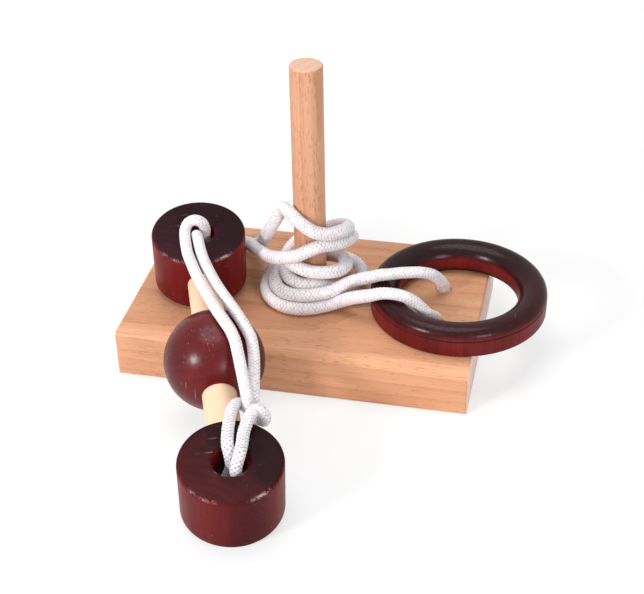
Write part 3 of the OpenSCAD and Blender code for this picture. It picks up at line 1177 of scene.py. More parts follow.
@dataclass(frozen=True)
class Dumbbell:
    """The two drums, the ball and the rod through them.

    Attributes:
        rim: how much the drums' edges are rounded, and mouth_low the lower edge of their bores.
        glue_gap: how far the rod is from the holes it sits in.
        socket_depth: how deep it sits in each drum.
        ball_steps: how many faces lie from one end of the ball's hole to the other.
        wear_and_painted_glint: the stretches of the drums' rims that are worn and carry painted glints of
            light, as Lathe.turn takes them.
    """

    lie: Lie
    lathe: Lathe
    drum_radius: float = 0.0175
    drum_height: float = 0.0232
    bore_radius: float = 0.006
    rim: float = 0.0012
    mouth_low: float = 0.003
    rod_radius: float = 0.006
    glue_gap: float = 0.00005
    socket_depth: float = 0.008
    ball_radius: float = 0.0179
    ball_steps: int = 56
    # These stretches of rim carry painted glints of light as well as wear.
    wear_and_painted_glint: tuple[tuple[float, float], ...] = ((-48.0, 30.0), (31.0, 20.0))

    def drum(self, name: str, along: float, faces: int, finish: bpy.types.Material) -> bpy.types.Object:
        """Turns a drum and drills the blind socket for the rod.

        Args:
            name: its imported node.
            along: how far down the rod it is.
            faces: 1 where the rod runs on from it down the slope, and -1 where it comes from above.
            finish: its material.

        Returns:
            The drum.
        """
        contour = collar(self.bore_radius, self.drum_radius, self.drum_height,
                         (self.rim, self.rim, self.rim, self.mouth_low))
        centred = Contour(tuple((r, z - self.drum_height / 2, rim) for r, z, rim in contour.points))
        frame = self.lie.on_rod(along)
        piece = self.lathe.turn(f"{name}_turned", centred, frame, seed=along, wear_and_painted_glint=self.wear_and_painted_glint)
        depth = self.drum_radius - self.socket_depth
        aim = frame @ Matrix.Rotation(faces * math.pi / 2, 4, "Y") @ Matrix.Translation((0, 0, depth))
        self.lathe.bore(piece, aim, self.rod_radius + self.glue_gap, self.drum_radius)
        return finished(piece, finish, Body.DUMBBELL, name)

    def ball(self, finish: bpy.types.Material) -> bpy.types.Object:
        """Turns the ball about the rod, with the rod's hole through it.

        Args:
            finish: its material.

        Returns:
            The ball.
        """
        hole = self.rod_radius + self.glue_gap
        half = math.degrees(math.asin(hole / self.ball_radius))
        points = Contour.arc(0, 0, self.ball_radius, 90 - half, self.ball_steps, rim=0.0,
                             sweep=2 * half - 180)
        frame = self.lie.on_rod(self.lie.drum_pitch / 2) @ Matrix.Rotation(math.pi / 2, 4, "Y")
        piece = self.lathe.turn("ball_turned", Contour.of(points), frame, seed=3.0)
        return finished(piece, finish, Body.DUMBBELL, "ball")

    def rod(self, finish: bpy.types.Material) -> bpy.types.Object:
        """Turns the rod, from one drum's socket to the other's.

        Args:
            finish: its material.

        Returns:
            The rod.
        """
        inset = self.drum_radius - self.socket_depth + self.glue_gap
        length = self.lie.drum_pitch - 2 * inset
        corners = [(0.0, 0.0, 0.0), (self.rod_radius, 0.0, 0.0), (self.rod_radius, length, 0.0),
                   (0.0, length, 0.0)]
        frame = self.lie.on_rod(inset) @ Matrix.Rotation(math.pi / 2, 4, "Y")
        piece = self.lathe.turn("rod_turned", Contour.of(corners, PLAIN_RUN, closed=False), frame, seed=7.0)
        return finished(piece, finish, Body.DUMBBELL, "connecting_rod")

    def build(self) -> list[bpy.types.Object]:
        """Makes the four pieces in their finishes.

        Returns:
            The pieces.
        """
        rear = StainedWood("stained_rear_drum", side=(0.185, 0.0130, 0.0105, 1.0)).material()
        # The front drum takes a stripe of painted shade down its side.
        front = StainedWood("stained_front_drum", end=(0.066, 0.0105, 0.0120, 1.0),
                            end_dark=(0.019, 0.0060, 0.0075, 1.0), shade_stripe_strength=0.9).material()
        across = StainedWood("stained_ball", side=(0.124, 0.0060, 0.0065, 1.0),
                             end=(0.096, 0.0055, 0.0060, 1.0), end_dark=(0.060, 0.0060, 0.0065, 1.0),
                             turn=(0.0, 0.0, math.pi / 2),
                             scratching=0.4, gloss=0.68, end_gloss=0.68, coat_roughness=0.262).material()
        pale = LightWood("pale_rod", pale=(0.87, 0.64, 0.46, 1.0), deep=(0.81, 0.56, 0.37, 1.0),
                         line=(0.66, 0.44, 0.24, 1.0), end=(0.8, 0.6, 0.38, 1.0),
                         turn=(0.0, math.pi / 2, 0.0),
                         growth_strength=0.15, pore_strength=0.12, fleck_strength=0.1).material()
        return [self.drum("rear_drum", 0.0, 1, rear), self.drum("front_drum", self.lie.drum_pitch, -1, front),
                self.ball(across), self.rod(pale)]


@dataclass(frozen=True)
class Ring:
    """The loose ring, which lies on the board and overhangs its end.

    Attributes:
        centre: where it lies on the board.
        inner: radius of its hole.
        outer: its own radius.
        throat: the rounding over its hole, crown that over its side, edge that under its side, and
            mouth that under its hole.
        line_height: how high the thin line round its side is, and line_depth how deep.
        gap: how far it is from the board.
    """

    lie: Lie
    lathe: Lathe
    centre: tuple[float, float] = (0.0564, 0.0005)
    inner: float = 0.0222
    outer: float = 0.0329
    height: float = 0.0108
    throat: float = 0.0058
    crown: float = 0.0040
    edge: float = 0.0008
    mouth: float = 0.003
    line_height: float = 0.0066
    line_depth: float = 0.0003
    gap: float = 0.00005

    def build(self) -> list[bpy.types.Object]:
        """Turns the ring, with the thin line round its side.

        Returns:
            The ring, alone in a list.
        """
        deep = self.line_depth
        line = [(self.outer, self.line_height + deep, 0.0), (self.outer - deep, self.line_height, 0.0),
                (self.outer, self.line_height - deep, 0.0)]
        contour = collar(self.inner, self.outer, self.height,
                         (self.throat, self.crown, self.edge, self.mouth), line)
        frame = self.lie.on_board() @ Matrix.Translation((*self.centre, self.gap))
        piece = self.lathe.turn("ring_turned", contour, frame, seed=11.0)
        # Painted shade: the crown counts as cut grain from end_from to end_to, so it takes the dark end
        # colours all over its faces that look up.
        stain = StainedWood("stained_ring", side=(0.165, 0.0130, 0.0105, 1.0),
                            end=(0.030, 0.0040, 0.0055, 1.0), end_dark=(0.016, 0.0030, 0.0045, 1.0),
                            end_from=0.08, end_to=0.55, scuffing=0.0, scratching=0.05, dusting=0.0,
                            gloss=0.3, end_gloss=0.45, coat_roughness=0.215).material()
        return [finished(piece, stain, Body.RING, "ring")]


@dataclass(frozen=True)
class Base:
    """The board and the post that is glued in it.

    Attributes:
        post_height: how far the post stands out of the board.
        post_socket: how deep it sits in it.
        post_edge: how much its top edge is rounded.
    """

    lie: Lie
    lathe: Lathe
    post_radius: float = 0.006
    post_height: float = 0.0946
    post_socket: float = 0.012
    post_edge: float = 0.0008

    def post(self) -> bpy.types.Object:
        """Turns the post, with its top edge eased.

        Returns:
            The post.
        """
        radius, edge = self.post_radius, self.post_edge
        top = self.post_height + self.post_socket
        points = ([(0.0, 0.0, 0.0), (radius, 0.0, 0.0)]
                  + list(reversed(Contour.arc(radius - edge, top - edge, edge, 90)))
                  + [(0.0, top, 0.0)])
        frame = self.lie.on_board() @ Matrix.Translation((0, 0, -self.post_socket))
        piece = self.lathe.turn("post_turned", Contour.of(points, PLAIN_RUN, closed=False), frame, seed=17.0)
        beech = LightWood("beech_post", pale=(0.69, 0.375, 0.24, 1.0), deep=(0.585, 0.295, 0.172, 1.0),
                          line=(0.36, 0.15, 0.07, 1.0), end=(0.70, 0.46, 0.34, 1.0),
                          turn=(0.0, math.pi / 2, 0.0), wander=3.4, fleck_start=0.72,
                          growth_strength=0.35).material()
        return finished(piece, beech, Body.BASE, "post")

    def build(self, board: bpy.types.Object) -> list[bpy.types.Object]:
        """Makes the post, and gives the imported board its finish.

        Args:
            board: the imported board.

        Returns:
            The board and the post.
        """
        # The board takes the pale end colour, a painted sheen on its end faces.
        beech = LightWood("beech_board").material()
        board.data.materials.clear()
        board.data.materials.append(beech)
        return [board, self.post()]


# The cord


@dataclass(frozen=True)
class Braid:
    """A braided cord: strands that run both ways round it and pass over and under each other.

    Attributes:
        radius: half its thickness.
        strands: how many strands run each way.
        repeat: how far along it the strands cross again.
        relief: how far they stand out.
        level: the height of a strand, from 0 to 1, that lies at the radius.
        roundness: how round a strand is across, and swell how round along.
        dip: how much of its height a strand keeps where it goes under.
        sides: how many faces lie round the cord.
        step: how far apart they lie along it.
        finer: how many points the curve through a route has between two of the route's own.
    """

    MAP = "braid"
    FIRST_SIDE = (0.1, 1.0, 0.2)
    CAP_PLACE = 0.25

    radius: float = 0.00235
    strands: int = 6
    repeat: float = 0.00125
    relief: float = 0.00022
    level: float = 0.75
    roundness: float = 0.7
    swell: float = 0.8
    dip: float = 0.35
    sides: int = 36
    step: float = 0.00035
    finer: int = 24

    def heights(self, around: np.ndarray, along: np.ndarray) -> np.ndarray:
        """How far the strands stand out, from 0 in the gaps between them to 1.

        Args:
            around: share of a turn round the cord, for each point.
            along: metres along the cord, for each point.

        Returns:
            One number for each point.
        """
        right = around * self.strands - along / self.repeat
        left = around * self.strands + along / self.repeat
        odd = (np.floor(right) + np.floor(left)) % 2 > 0.5
        across = np.where(odd, left, right) % 1.0
        lengthways = np.where(odd, right, left) % 1.0
        rounded = np.sin(np.pi * across) ** self.roundness
        return rounded * (self.dip + (1 - self.dip) * np.sin(np.pi * lengthways) ** self.swell)

    def smooth(self, route: Sequence[Vector]) -> np.ndarray:
        """Points at even steps on the smooth curve through a route.

        Args:
            route: the points that it passes through.

        Returns:
            The points, as rows.
        """
        p = np.array([tuple(q) for q in route])
        made = []
        for i in range(len(p) - 1):
            a, b, c, d = p[max(i - 1, 0)], p[i], p[i + 1], p[min(i + 2, len(p) - 1)]
            for t in np.linspace(0, 1, self.finer, endpoint=False):
                made.append(0.5 * (2 * b + (c - a) * t + (2 * a - 5 * b + 4 * c - d) * t ** 2
                                   + (3 * b - a - 3 * c + d) * t ** 3))
        fine = np.array(made + [p[-1]])
        length = np.concatenate([[0], np.cumsum(np.linalg.norm(np.diff(fine, axis=0), axis=1))])
        even = np.linspace(0, length[-1], max(2, round(length[-1] / self.step)) + 1)
        return np.stack([np.interp(even, length, fine[:, k]) for k in range(3)], axis=1)

    def rails(self, path: np.ndarray) -> tuple[np.ndarray, np.ndarray]:
        """Two directions that are square to a path and to each other, and don't twist round it.

        Args:
            path: its points.

        Returns:
            The two directions at each point.
        """
        ahead = np.gradient(path, axis=0)
        ahead /= np.linalg.norm(ahead, axis=1)[:, None]
        side = np.zeros_like(path)
        current = np.array(self.FIRST_SIDE)
        for i, direction in enumerate(ahead):
            current = current - direction * current.dot(direction)
            current /= np.linalg.norm(current)
            side[i] = current
        return side, np.cross(ahead, side)

    def surface(self, path: np.ndarray, girth: np.ndarray) -> np.ndarray:
        """The points of the braid's surface.

        Args:
            path: the points of its centreline, a step apart.
            girth: how thick it is at each of them, as a share of its radius.

        Returns:
            An array of rows along the path, points round it, and their three coordinates.
        """
        side, up = self.rails(path)
        turn = np.arange(self.sides) / self.sides
        rise = self.heights(turn[None, :], np.arange(len(path))[:, None] * self.step)
        radius = (self.radius - self.relief * (self.level - rise)) * girth[:, None]
        angle = 2 * np.pi * turn
        outward = (np.cos(angle)[None, :, None] * side[:, None, :]
                   + np.sin(angle)[None, :, None] * up[:, None, :])
        return path[:, None, :] + radius[:, :, None] * outward

    def skin(self, name: str, points: np.ndarray, opened: np.ndarray) -> bpy.types.Object:
        """Makes the object from the points of its surface, with the braid's map on it.

        Args:
            name: the object's name.
            points: rows of points, as surface gives them.
            opened: how far the strands part at each row, from 0 to 1.

        Returns:
            The object.
        """
        count, sides = points.shape[:2]
        faces = []
        uv = []
        for i in range(count - 1):
            for k in range(sides):
                following = (k + 1) % sides
                faces.append((i * sides + k, i * sides + following,
                              (i + 1) * sides + following, (i + 1) * sides + k))
                for column, row in ((k, i), (k + 1, i), (k + 1, i + 1), (k, i + 1)):
                    uv.extend((column / sides, row * self.step))
        ends = [tuple(reversed(range(sides))), tuple(range((count - 1) * sides, count * sides))]
        for row, end in zip((0, count - 1), ends):
            faces.append(end)
            for _ in end:
                uv.extend((self.CAP_PLACE / self.strands, row * self.step))
        mesh = bpy.data.meshes.new(name)
        mesh.from_pydata(points.reshape(-1, 3).tolist(), [], faces)
        mesh.uv_layers.new(name=self.MAP).uv.foreach_set("vector", np.array(uv, np.float32))
        spread = mesh.attributes.new("open", "FLOAT", "POINT")
        spread.data.foreach_set("value", np.repeat(opened, sides).astype(np.float32))
        mesh.validate()
        mesh.shade_smooth()
        piece = bpy.data.objects.new(name, mesh)
        bpy.context.collection.objects.link(piece)
        return piece


@dataclass(frozen=True)
class Squeeze:
    """Keeps soft cord out of the wood, above the table, and out of the cord beside it.

    Attributes:
        clear: how far it stays from them.
        depth: how deep in the wood a point is still found.
        stride: every how many points of a centreline one is measured.
    """

    clear: float = 0.00008
    depth: float = 0.0012
    stride: int = 2

    @staticmethod
    def wood(nodes: Sequence[bpy.types.Object]) -> list[BVHTree]:
        """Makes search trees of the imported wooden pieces.

        Args:
            nodes: the pieces.

        Returns:
            A tree for each.
        """
        trees = []
        for node in nodes:
            corners = [node.matrix_world @ vertex.co for vertex in node.data.vertices]
            trees.append(BVHTree.FromPolygons(corners, [tuple(face.vertices) for face in node.data.polygons]))
        return trees

    def by_cord(self, points: np.ndarray, own: np.ndarray, others: Sequence[np.ndarray], radius: float,
                apart: int) -> None:
        """Flattens a cord against the cord beside it, and against its own other turns.

        Args:
            points: the cord's surface, which is changed.
            own: its centreline.
            others: the centrelines of the other lengths.
            radius: how thick the cord is.
            apart: how many steps along itself the cord is not measured against itself.
        """
        centres = list(enumerate(own))[::self.stride]
        centres += [(None, q) for other in others for q in other[::self.stride]]
        tree = KDTree(len(centres))
        for k, (_, q) in enumerate(centres):
            tree.insert(q, k)
        tree.balance()
        for i, centre in enumerate(own):
            for q, k, distance in tree.find_range(centre, 2 * radius):
                j = centres[k][0]
                if j is not None and abs(i - j) < apart:
                    continue
                towards = (np.array(q) - centre) / distance
                excess = (points[i] - centre) @ towards - (distance / 2 - self.clear)
                points[i] -= np.maximum(excess, 0)[:, None] * towards

    def by_wood(self, points: np.ndarray, trees: Sequence[BVHTree]) -> None:
        """Moves points of a cord's surface out of the wood, and up to the table.

        Args:
            points: the cord's surface, which is changed.
            trees: the wood, as wood gives it.
        """
        flat = points.reshape(-1, 3)
        for k, point in enumerate(flat):
            for tree in trees:
                place, normal, _, _ = tree.find_nearest(point, self.depth)
                if place is not None and (Vector(point) - place).dot(normal) < self.clear:
                    point = np.array(place + normal * self.clear)
            flat[k] = point
        flat[:, 2] = np.maximum(flat[:, 2], self.clear)


@dataclass(frozen=True)
class Strand:
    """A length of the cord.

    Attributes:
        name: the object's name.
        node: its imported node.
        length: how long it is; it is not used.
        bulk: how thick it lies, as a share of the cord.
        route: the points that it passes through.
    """

    name: str
    node: str
    length: float
    bulk: float
    route: tuple[Point, ...]


def around_post(turns: Sequence[Point]) -> list[Point]:
    """Points round the post, from degrees round it, distances from it and heights."""
    return [(r * math.cos(math.radians(a)), r * math.sin(math.radians(a)), z) for a, r, z in turns]


FAR_STRAND = Strand("braid_far", "cord_far", 0.343, 1.06, (
    (0.0495, 0.0107, -0.0100), (0.0495, 0.0107, -0.0040), (0.0495, 0.0104, 0.0004),
    (0.0494, 0.0088, 0.0034), (0.0487, 0.0069, 0.0058), (0.0471, 0.0051, 0.0088),
    (0.0451, 0.0032, 0.0110), (0.0416, 0.0010, 0.0127), (0.0381, -0.0006, 0.0133),
    (0.0345, -0.0018, 0.0134), (0.0310, -0.0033, 0.0134), (0.0274, -0.0043, 0.0132),
    (0.0238, -0.0048, 0.0121),
    *around_post((
        (-12, 0.0200, 0.0102), (-19, 0.0172, 0.0094), (-31, 0.0154, 0.0086), (-47, 0.0144, 0.0079),
        (-70, 0.0136, 0.0073), (-95, 0.0137, 0.0067), (-118, 0.0145, 0.0067), (-138, 0.0146, 0.0070),
        (-160, 0.0135, 0.0077), (-185, 0.0125, 0.0082), (-215, 0.0119, 0.0094), (-245, 0.0113, 0.0104),
        (-280, 0.0110, 0.0115), (-305, 0.0116, 0.0122), (-322, 0.0122, 0.0123), (-337, 0.0130, 0.0125),
        (-355, 0.0136, 0.0128), (-380, 0.0129, 0.0138), (-407, 0.0115, 0.0147), (-438, 0.0100, 0.0153),
        (-470, 0.0092, 0.0160), (-505, 0.0088, 0.0158), (-540, 0.0087, 0.0161), (-575, 0.0087, 0.0176),
        (-608, 0.0091, 0.0196), (-638, 0.0099, 0.0214), (-659, 0.0120, 0.0231), (-675, 0.0142, 0.0247),
        (-691, 0.0147, 0.0260), (-708, 0.0139, 0.0276), (-730, 0.0115, 0.0289), (-757, 0.0097, 0.0298),
        (-790, 0.0091, 0.0321), (-822, 0.0088, 0.0355), (-855, 0.0088, 0.0380))),
    (-0.0096, -0.0029, 0.0375), (-0.0118, -0.0021, 0.0330), (-0.0153, 0.0000, 0.0261),
    (-0.0199, 0.0074, 0.0169), (-0.0236, 0.0136, 0.0104), (-0.0270, 0.0180, 0.0065),
    (-0.0318, 0.0216, 0.0040), (-0.0380, 0.0236, 0.0027), (-0.0450, 0.0233, 0.0026),
    (-0.0505, 0.0200, 0.0032), (-0.0520, 0.0145, 0.0034), (-0.0503, 0.0090, 0.0030),
    (-0.0484, 0.0040, 0.0026), (-0.0464, -0.0006, 0.0028), (-0.0454, -0.0032, 0.0037),
    (-0.0449, -0.0046, 0.0051), (-0.0448, -0.0049, 0.0064),
))

NEAR_STRAND = Strand("braid_near", "cord_near", 0.333, 1.06, (
    (0.0495, -0.0107, -0.0100), (0.0495, -0.0107, -0.0040), (0.0495, -0.0108, 0.0000),
    (0.0493, -0.0116, 0.0018), (0.0485, -0.0131, 0.0034), (0.0470, -0.0143, 0.0052),
    (0.0449, -0.0147, 0.0075), (0.0427, -0.0152, 0.0100), (0.0402, -0.0158, 0.0120),
    (0.0377, -0.0161, 0.0131), (0.0351, -0.0160, 0.0134), (0.0325, -0.0160, 0.0134),
    (0.0295, -0.0159, 0.0129), (0.0256, -0.0152, 0.0111), (0.0216, -0.0138, 0.0091),
    *around_post((
        (-36, 0.0219, 0.0072), (-40, 0.0182, 0.0048), (-49, 0.0158, 0.0031), (-62, 0.0150, 0.0025),
        (-80, 0.0157, 0.0025), (-98, 0.0166, 0.0025), (-117, 0.0172, 0.0025), (-138, 0.0174, 0.0025),
        (-158, 0.0172, 0.0025), (-178, 0.0170, 0.0030), (-198, 0.0169, 0.0046), (-222, 0.0165, 0.0062),
        (-250, 0.0160, 0.0067), (-280, 0.0158, 0.0068), (-303, 0.0180, 0.0068), (-320, 0.0198, 0.0062),
        (-335, 0.0202, 0.0055), (-350, 0.0193, 0.0050), (-363, 0.0163, 0.0050), (-377, 0.0128, 0.0055),
        (-390, 0.0104, 0.0062), (-405, 0.0091, 0.0072), (-430, 0.0087, 0.0084), (-462, 0.0092, 0.0088),
        (-495, 0.0096, 0.0096), (-530, 0.0094, 0.0109), (-562, 0.0090, 0.0122), (-595, 0.0089, 0.0144),
        (-627, 0.0092, 0.0165), (-654, 0.0108, 0.0181), (-671, 0.0146, 0.0198), (-685, 0.0162, 0.0213),
        (-700, 0.0157, 0.0224), (-719, 0.0128, 0.0235), (-745, 0.0099, 0.0244), (-775, 0.0090, 0.0251),
        (-803, 0.0091, 0.0237), (-830, 0.0101, 0.0212))),
    (-0.0090, -0.0086, 0.0194), (-0.0127, -0.0062, 0.0176), (-0.0168, -0.0028, 0.0163),
    (-0.0216, 0.0021, 0.0150), (-0.0266, 0.0081, 0.0134), (-0.0326, 0.0140, 0.0099),
    (-0.0385, 0.0180, 0.0063), (-0.0435, 0.0179, 0.0044), (-0.0463, 0.0145, 0.0034),
    (-0.0455, 0.0103, 0.0030), (-0.0437, 0.0058, 0.0026), (-0.0418, 0.0014, 0.0028),
    (-0.0405, -0.0015, 0.0037), (-0.0401, -0.0027, 0.0051), (-0.0400, -0.0030, 0.0064),
))

# The bridge is measured along the rod from the rear drum's centre, across it, and up the bore
BRIDGE_STRAND = Strand("braid_bridge", "cord_bridge", 0.452, 0.88, (
    (0.0000, 0.0025, -0.0083), (0.0000, 0.0025, -0.0042), (-0.0003, 0.0025, 0.0021),
    (-0.0008, 0.0025, 0.0084), (-0.0012, 0.0026, 0.0116), (-0.0014, 0.0016, 0.0146),
    (-0.0016, -0.0009, 0.0160), (-0.0012, -0.0034, 0.0152), (0.0013, -0.0049, 0.0141),
    (0.0060, -0.0053, 0.0138), (0.0135, -0.0051, 0.0138), (0.0200, -0.0041, 0.0141),
    (0.0260, -0.0032, 0.0151), (0.0320, -0.0021, 0.0162), (0.0380, -0.0008, 0.0173),
    (0.0440, 0.0005, 0.0184), (0.0500, 0.0020, 0.0194), (0.0556, 0.0039, 0.0197),
    (0.0598, 0.0057, 0.0188), (0.0640, 0.0068, 0.0179), (0.0680, 0.0072, 0.0170),
    (0.0750, 0.0077, 0.0148), (0.0835, 0.0082, 0.0133), (0.0888, 0.0083, 0.0122),
    (0.0916, 0.0087, 0.0091), (0.0924, 0.0091, 0.0042), (0.0926, 0.0093, -0.0011),
    (0.0924, 0.0092, -0.0063), (0.0924, 0.0084, -0.0116), (0.0945, 0.0062, -0.0144),
    (0.0985, 0.0040, -0.0145), (0.1030, 0.0029, -0.0137), (0.1075, 0.0026, -0.0126),
    (0.1105, 0.0026, -0.0095), (0.1115, 0.0028, -0.0042), (0.1125, 0.0028, 0.0021),
    (0.1139, 0.0015, 0.0074), (0.1139, 0.0014, 0.0114), (0.1115, 0.0028, 0.0143),
    (0.1070, 0.0042, 0.0143), (0.1020, 0.0054, 0.0143), (0.0972, 0.0075, 0.0150),
    (0.0941, 0.0097, 0.0153), (0.0938, 0.0118, 0.0145), (0.0941, 0.0131, 0.0122),
    (0.0935, 0.0132, 0.0092), (0.0908, 0.0127, 0.0060), (0.0870, 0.0119, 0.0035),
    (0.0838, 0.0102, 0.0028), (0.0829, 0.0080, 0.0047), (0.0845, 0.0062, 0.0082),
    (0.0876, 0.0043, 0.0117), (0.0918, 0.0026, 0.0136), (0.0963, 0.0013, 0.0142),
    (0.1020, 0.0001, 0.0142), (0.1062, -0.0004, 0.0138), (0.1086, 0.0001, 0.0110),
    (0.1092, 0.0003, 0.0063), (0.1100, -0.0016, 0.0011), (0.1107, -0.0026, -0.0042),
    (0.1104, -0.0026, -0.0095), (0.1075, -0.0026, -0.0126), (0.1030, -0.0025, -0.0137),
    (0.0980, -0.0020, -0.0145), (0.0930, 0.0003, -0.0149), (0.0888, 0.0040, -0.0140),
    (0.0873, 0.0072, -0.0105), (0.0872, 0.0093, -0.0053), (0.0872, 0.0096, 0.0000),
    (0.0872, 0.0095, 0.0044), (0.0842, 0.0105, 0.0080), (0.0785, 0.0114, 0.0099),
    (0.0730, 0.0122, 0.0114), (0.0675, 0.0128, 0.0130), (0.0621, 0.0127, 0.0152),
    (0.0581, 0.0116, 0.0163), (0.0540, 0.0100, 0.0173), (0.0491, 0.0082, 0.0177),
    (0.0439, 0.0063, 0.0176), (0.0380, 0.0044, 0.0170), (0.0316, 0.0028, 0.0160),
    (0.0250, 0.0015, 0.0149), (0.0184, 0.0004, 0.0140), (0.0127, -0.0003, 0.0138),
    (0.0075, -0.0006, 0.0138), (0.0038, -0.0008, 0.0130), (0.0014, -0.0013, 0.0100),
    (0.0006, -0.0021, 0.0042), (0.0000, -0.0025, -0.0042), (0.0000, -0.0025, -0.0083),
))


@dataclass(frozen=True)
class Knot:
    """A tight overhand knot in a well under the board, with a short tail.

    Attributes:
        braid: the cord that it is tied from, pulled thin.
        entry: where the cord comes down to it.
        size: how far its turns lie from its middle.
        lobe: how much that distance and their height change round it.
        flatness: how much of that change the height has.
        middle: how high its middle is.
        start: where on its curve it begins, in radians.
        share: how much of the curve it goes round.
        steps: in how many steps.
        tail: how long its tail is.
    """

    braid: Braid = Braid(radius=0.0019, sides=24)
    entry: tuple[Point, ...] = ((0.0, 0.0, 0.0088), (0.0006, 0.0, 0.0078))
    size: float = 0.0032
    lobe: float = 0.0015
    flatness: float = 0.95
    middle: float = 0.0050
    start: float = 0.5
    share: float = 0.93
    steps: int = 24
    tail: float = 0.0012

    def tie(self, name: str, node: str, place: Point, finish: bpy.types.Material) -> bpy.types.Object:
        """Ties the knot.

        Args:
            name: the object's name.
            node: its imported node.
            place: the middle of its well, on the board's underside.
            finish: its material.

        Returns:
            The knot.
        """
        route = [Vector(p) for p in self.entry]
        for k in range(self.steps + 1):
            t = self.start + 2 * math.pi * self.share * k / self.steps
            reach = self.size + self.lobe * math.cos(3 * t)
            route.append(Vector((reach * math.cos(2 * t), reach * math.sin(2 * t),
                                 self.middle + self.lobe * math.sin(3 * t) * self.flatness)))
        route.append(route[-1] + (route[-1] - route[-2]).normalized() * self.tail)
        path = self.braid.smooth([Vector(place) + p for p in route])
        piece = self.braid.skin(name, self.braid.surface(path, np.ones(len(path))), np.zeros(len(path)))
        return finished(piece, finish, Body.BASE, node)


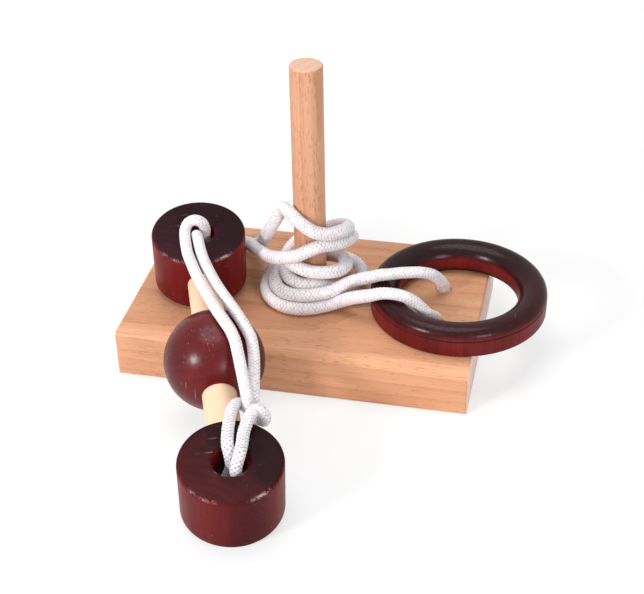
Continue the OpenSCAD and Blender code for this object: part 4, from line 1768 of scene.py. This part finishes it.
@dataclass(frozen=True)
class Cordage:
    """The one cord of the puzzle, in three lengths, and the two knots that stop it under the board.

    Attributes:
        diameter: the cord's thickness.
        nipped: its thickness under the front drum, whose middle is nip_below higher, within nip_reach.
        hole_x: where the board's holes are from the post, and hole_y how far to each side.
        open_at: where the strands part most, from the front drum's middle.
        open_reach: how far from there they part, and open_fade over what length they close.
        taut: how thick the cord is over the ring, which it becomes from taut_from to taut_to along X.
        bunched: how thick it is in the board's holes, from bunched_from to bunched_to above the board.
        own_reach: within how many radii along itself the cord is not squeezed by itself.
        told: a count of points along a centreline; it is not used.
        easing: over how many points a change of thickness is spread.
    """

    WOOD = ("base_board", "post", "ring", "rear_drum", "front_drum", "ball", "connecting_rod")

    lie: Lie
    braid: Braid
    squeeze: Squeeze
    knot: Knot = Knot()
    diameter: float = 0.0047
    nipped: float = 0.0040
    nip_below: float = 0.0085
    nip_reach: float = 0.0155
    hole_x: float = 0.0495
    hole_y: float = 0.01075
    open_at: Point = (0.0, 0.0, 0.012)
    open_reach: float = 0.018
    open_fade: float = 0.006
    taut: float = 0.89
    taut_from: float = 0.022
    taut_to: float = 0.032
    bunched: float = 1.15
    bunched_from: float = 0.0035
    bunched_to: float = 0.0010
    own_reach: float = 3.3
    told: int = 4
    easing: int = 11

    def lay(self, strand: Strand, paths: dict[str, np.ndarray], trees: Sequence[BVHTree], body: Body,
            finish: bpy.types.Material) -> bpy.types.Object:
        """Args:
            strand: the length.
            paths: the centreline of each length, by its name.
            trees: the wood that it lies against.
            body: what it rides on.
            finish: its material.

        Returns:
            The cord.
        """
        path = paths[strand.name]
        points = self.braid.surface(path, self.girth(strand, path))
        radius = self.braid.radius * strand.bulk
        others = [other for name, other in paths.items() if name != strand.name]
        self.squeeze.by_cord(points, path, others, radius, round(self.own_reach * radius / self.braid.step))
        self.squeeze.by_wood(points, trees)
        piece = self.braid.skin(strand.name, points, self.opened(path))
        finished(piece, finish, body, strand.node)
        return piece

    def girth(self, strand: Strand, path: np.ndarray) -> np.ndarray:
        """How thick a length is at each point.

        Args:
            strand: the length.
            path: its centreline.

        Returns:
            Shares of the cord's radius.
        """
        drawn = np.interp(path[:, 0], (self.taut_from, self.taut_to), (1.0, self.taut))
        above = path[:, 2] - self.lie.board_top
        mouth = np.interp(above, (self.bunched_to, self.bunched_from), (self.bunched, drawn[0]))
        over_ring = path[:, 0] > self.taut_to
        share = strand.bulk * np.where(over_ring, np.maximum(drawn, mouth / strand.bulk), drawn)
        if strand is BRIDGE_STRAND:
            drum = np.array(self.lie.on_rod(self.lie.drum_pitch).inverted())
            inside = path @ drum[:3, :3].T + drum[:3, 3]
            under = (inside[:, 2] < -self.nip_below) & (np.hypot(inside[:, 0], inside[:, 1]) < self.nip_reach)
            share = np.where(under, self.nipped / self.diameter, share)
        spread = np.pad(share, self.easing // 2, mode="edge")
        return np.convolve(spread, np.ones(self.easing) / self.easing, mode="valid")

    def opened(self, path: np.ndarray) -> np.ndarray:
        """How far the strands part along a path, as they do where the cord goes into the front bore.

        Args:
            path: a centreline.

        Returns:
            Shares from 0 to 1.
        """
        mouth = np.array(self.lie.on_rod(self.lie.drum_pitch) @ Vector(self.open_at))
        away = np.linalg.norm(path - mouth, axis=1)
        return np.clip((self.open_reach - away) / self.open_fade, 0, 1)

    def build(self, nodes: dict[str, bpy.types.Object]) -> list[bpy.types.Object]:
        """Makes the knots and the three lengths.

        Args:
            nodes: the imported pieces, by name.

        Returns:
            The five pieces.
        """
        cotton = BraidedCotton("white_cord").material()
        knots = [self.knot.tie("overhand_near", "knot_near", (self.hole_x, -self.hole_y, 0.0), cotton),
                 self.knot.tie("overhand_far", "knot_far", (self.hole_x, self.hole_y, 0.0), cotton)]
        board, rod = self.lie.on_board(), self.lie.on_rod()
        paths = {
            strand.name: self.braid.smooth([frame @ Vector(p) for p in strand.route])
            for strand, frame in ((NEAR_STRAND, board), (FAR_STRAND, board), (BRIDGE_STRAND, rod))}
        trees = self.squeeze.wood([nodes[name] for name in self.WOOD])
        return knots + [
            self.lay(NEAR_STRAND, paths, trees, Body.BASE, cotton),
            self.lay(FAR_STRAND, paths, trees, Body.BASE, cotton),
            self.lay(BRIDGE_STRAND, paths, trees, Body.DUMBBELL, cotton)]


# Putting it together


def finished(piece: bpy.types.Object, finish: bpy.types.Material, body: Body,
             node: str) -> bpy.types.Object:
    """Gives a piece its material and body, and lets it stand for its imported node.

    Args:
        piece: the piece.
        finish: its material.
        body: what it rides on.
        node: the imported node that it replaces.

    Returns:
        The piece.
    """
    piece.data.materials.clear()
    piece.data.materials.append(finish)
    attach(piece, body.value)
    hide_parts(node)
    return piece


def main() -> None:
    """Builds the puzzle around its frame, piece by piece."""
    logging.basicConfig(level=logging.INFO, format="%(name)s: %(message)s")
    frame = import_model()
    PhotoCamera().build()
    swivel = next(joint for joint in frame["joints"] if joint["name"] == "dumbbell_swivel")
    lie = Lie(board_top=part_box("base_board")[1][2], rear_drum=tuple(swivel["pos_m"]))
    lathe = Lathe()
    # The ring turns under the cord that lies on it, so it has no unevenness to push into the cord
    even_lathe = Lathe(unevenness=0.0, nick=0.0)
    made = Cordage(lie, Braid(), Squeeze()).build(frame["nodes"])
    made += Base(lie, lathe).build(frame["nodes"]["base_board"])
    made += Ring(lie, even_lathe).build()
    made += Dumbbell(lie, lathe).build()
    for piece in made:
        LOG.info("%s: %d faces", piece.name, len(piece.data.polygons))
    Studio().build()
    bpy.context.view_layer.update()


if __name__ == "__main__":
    main()
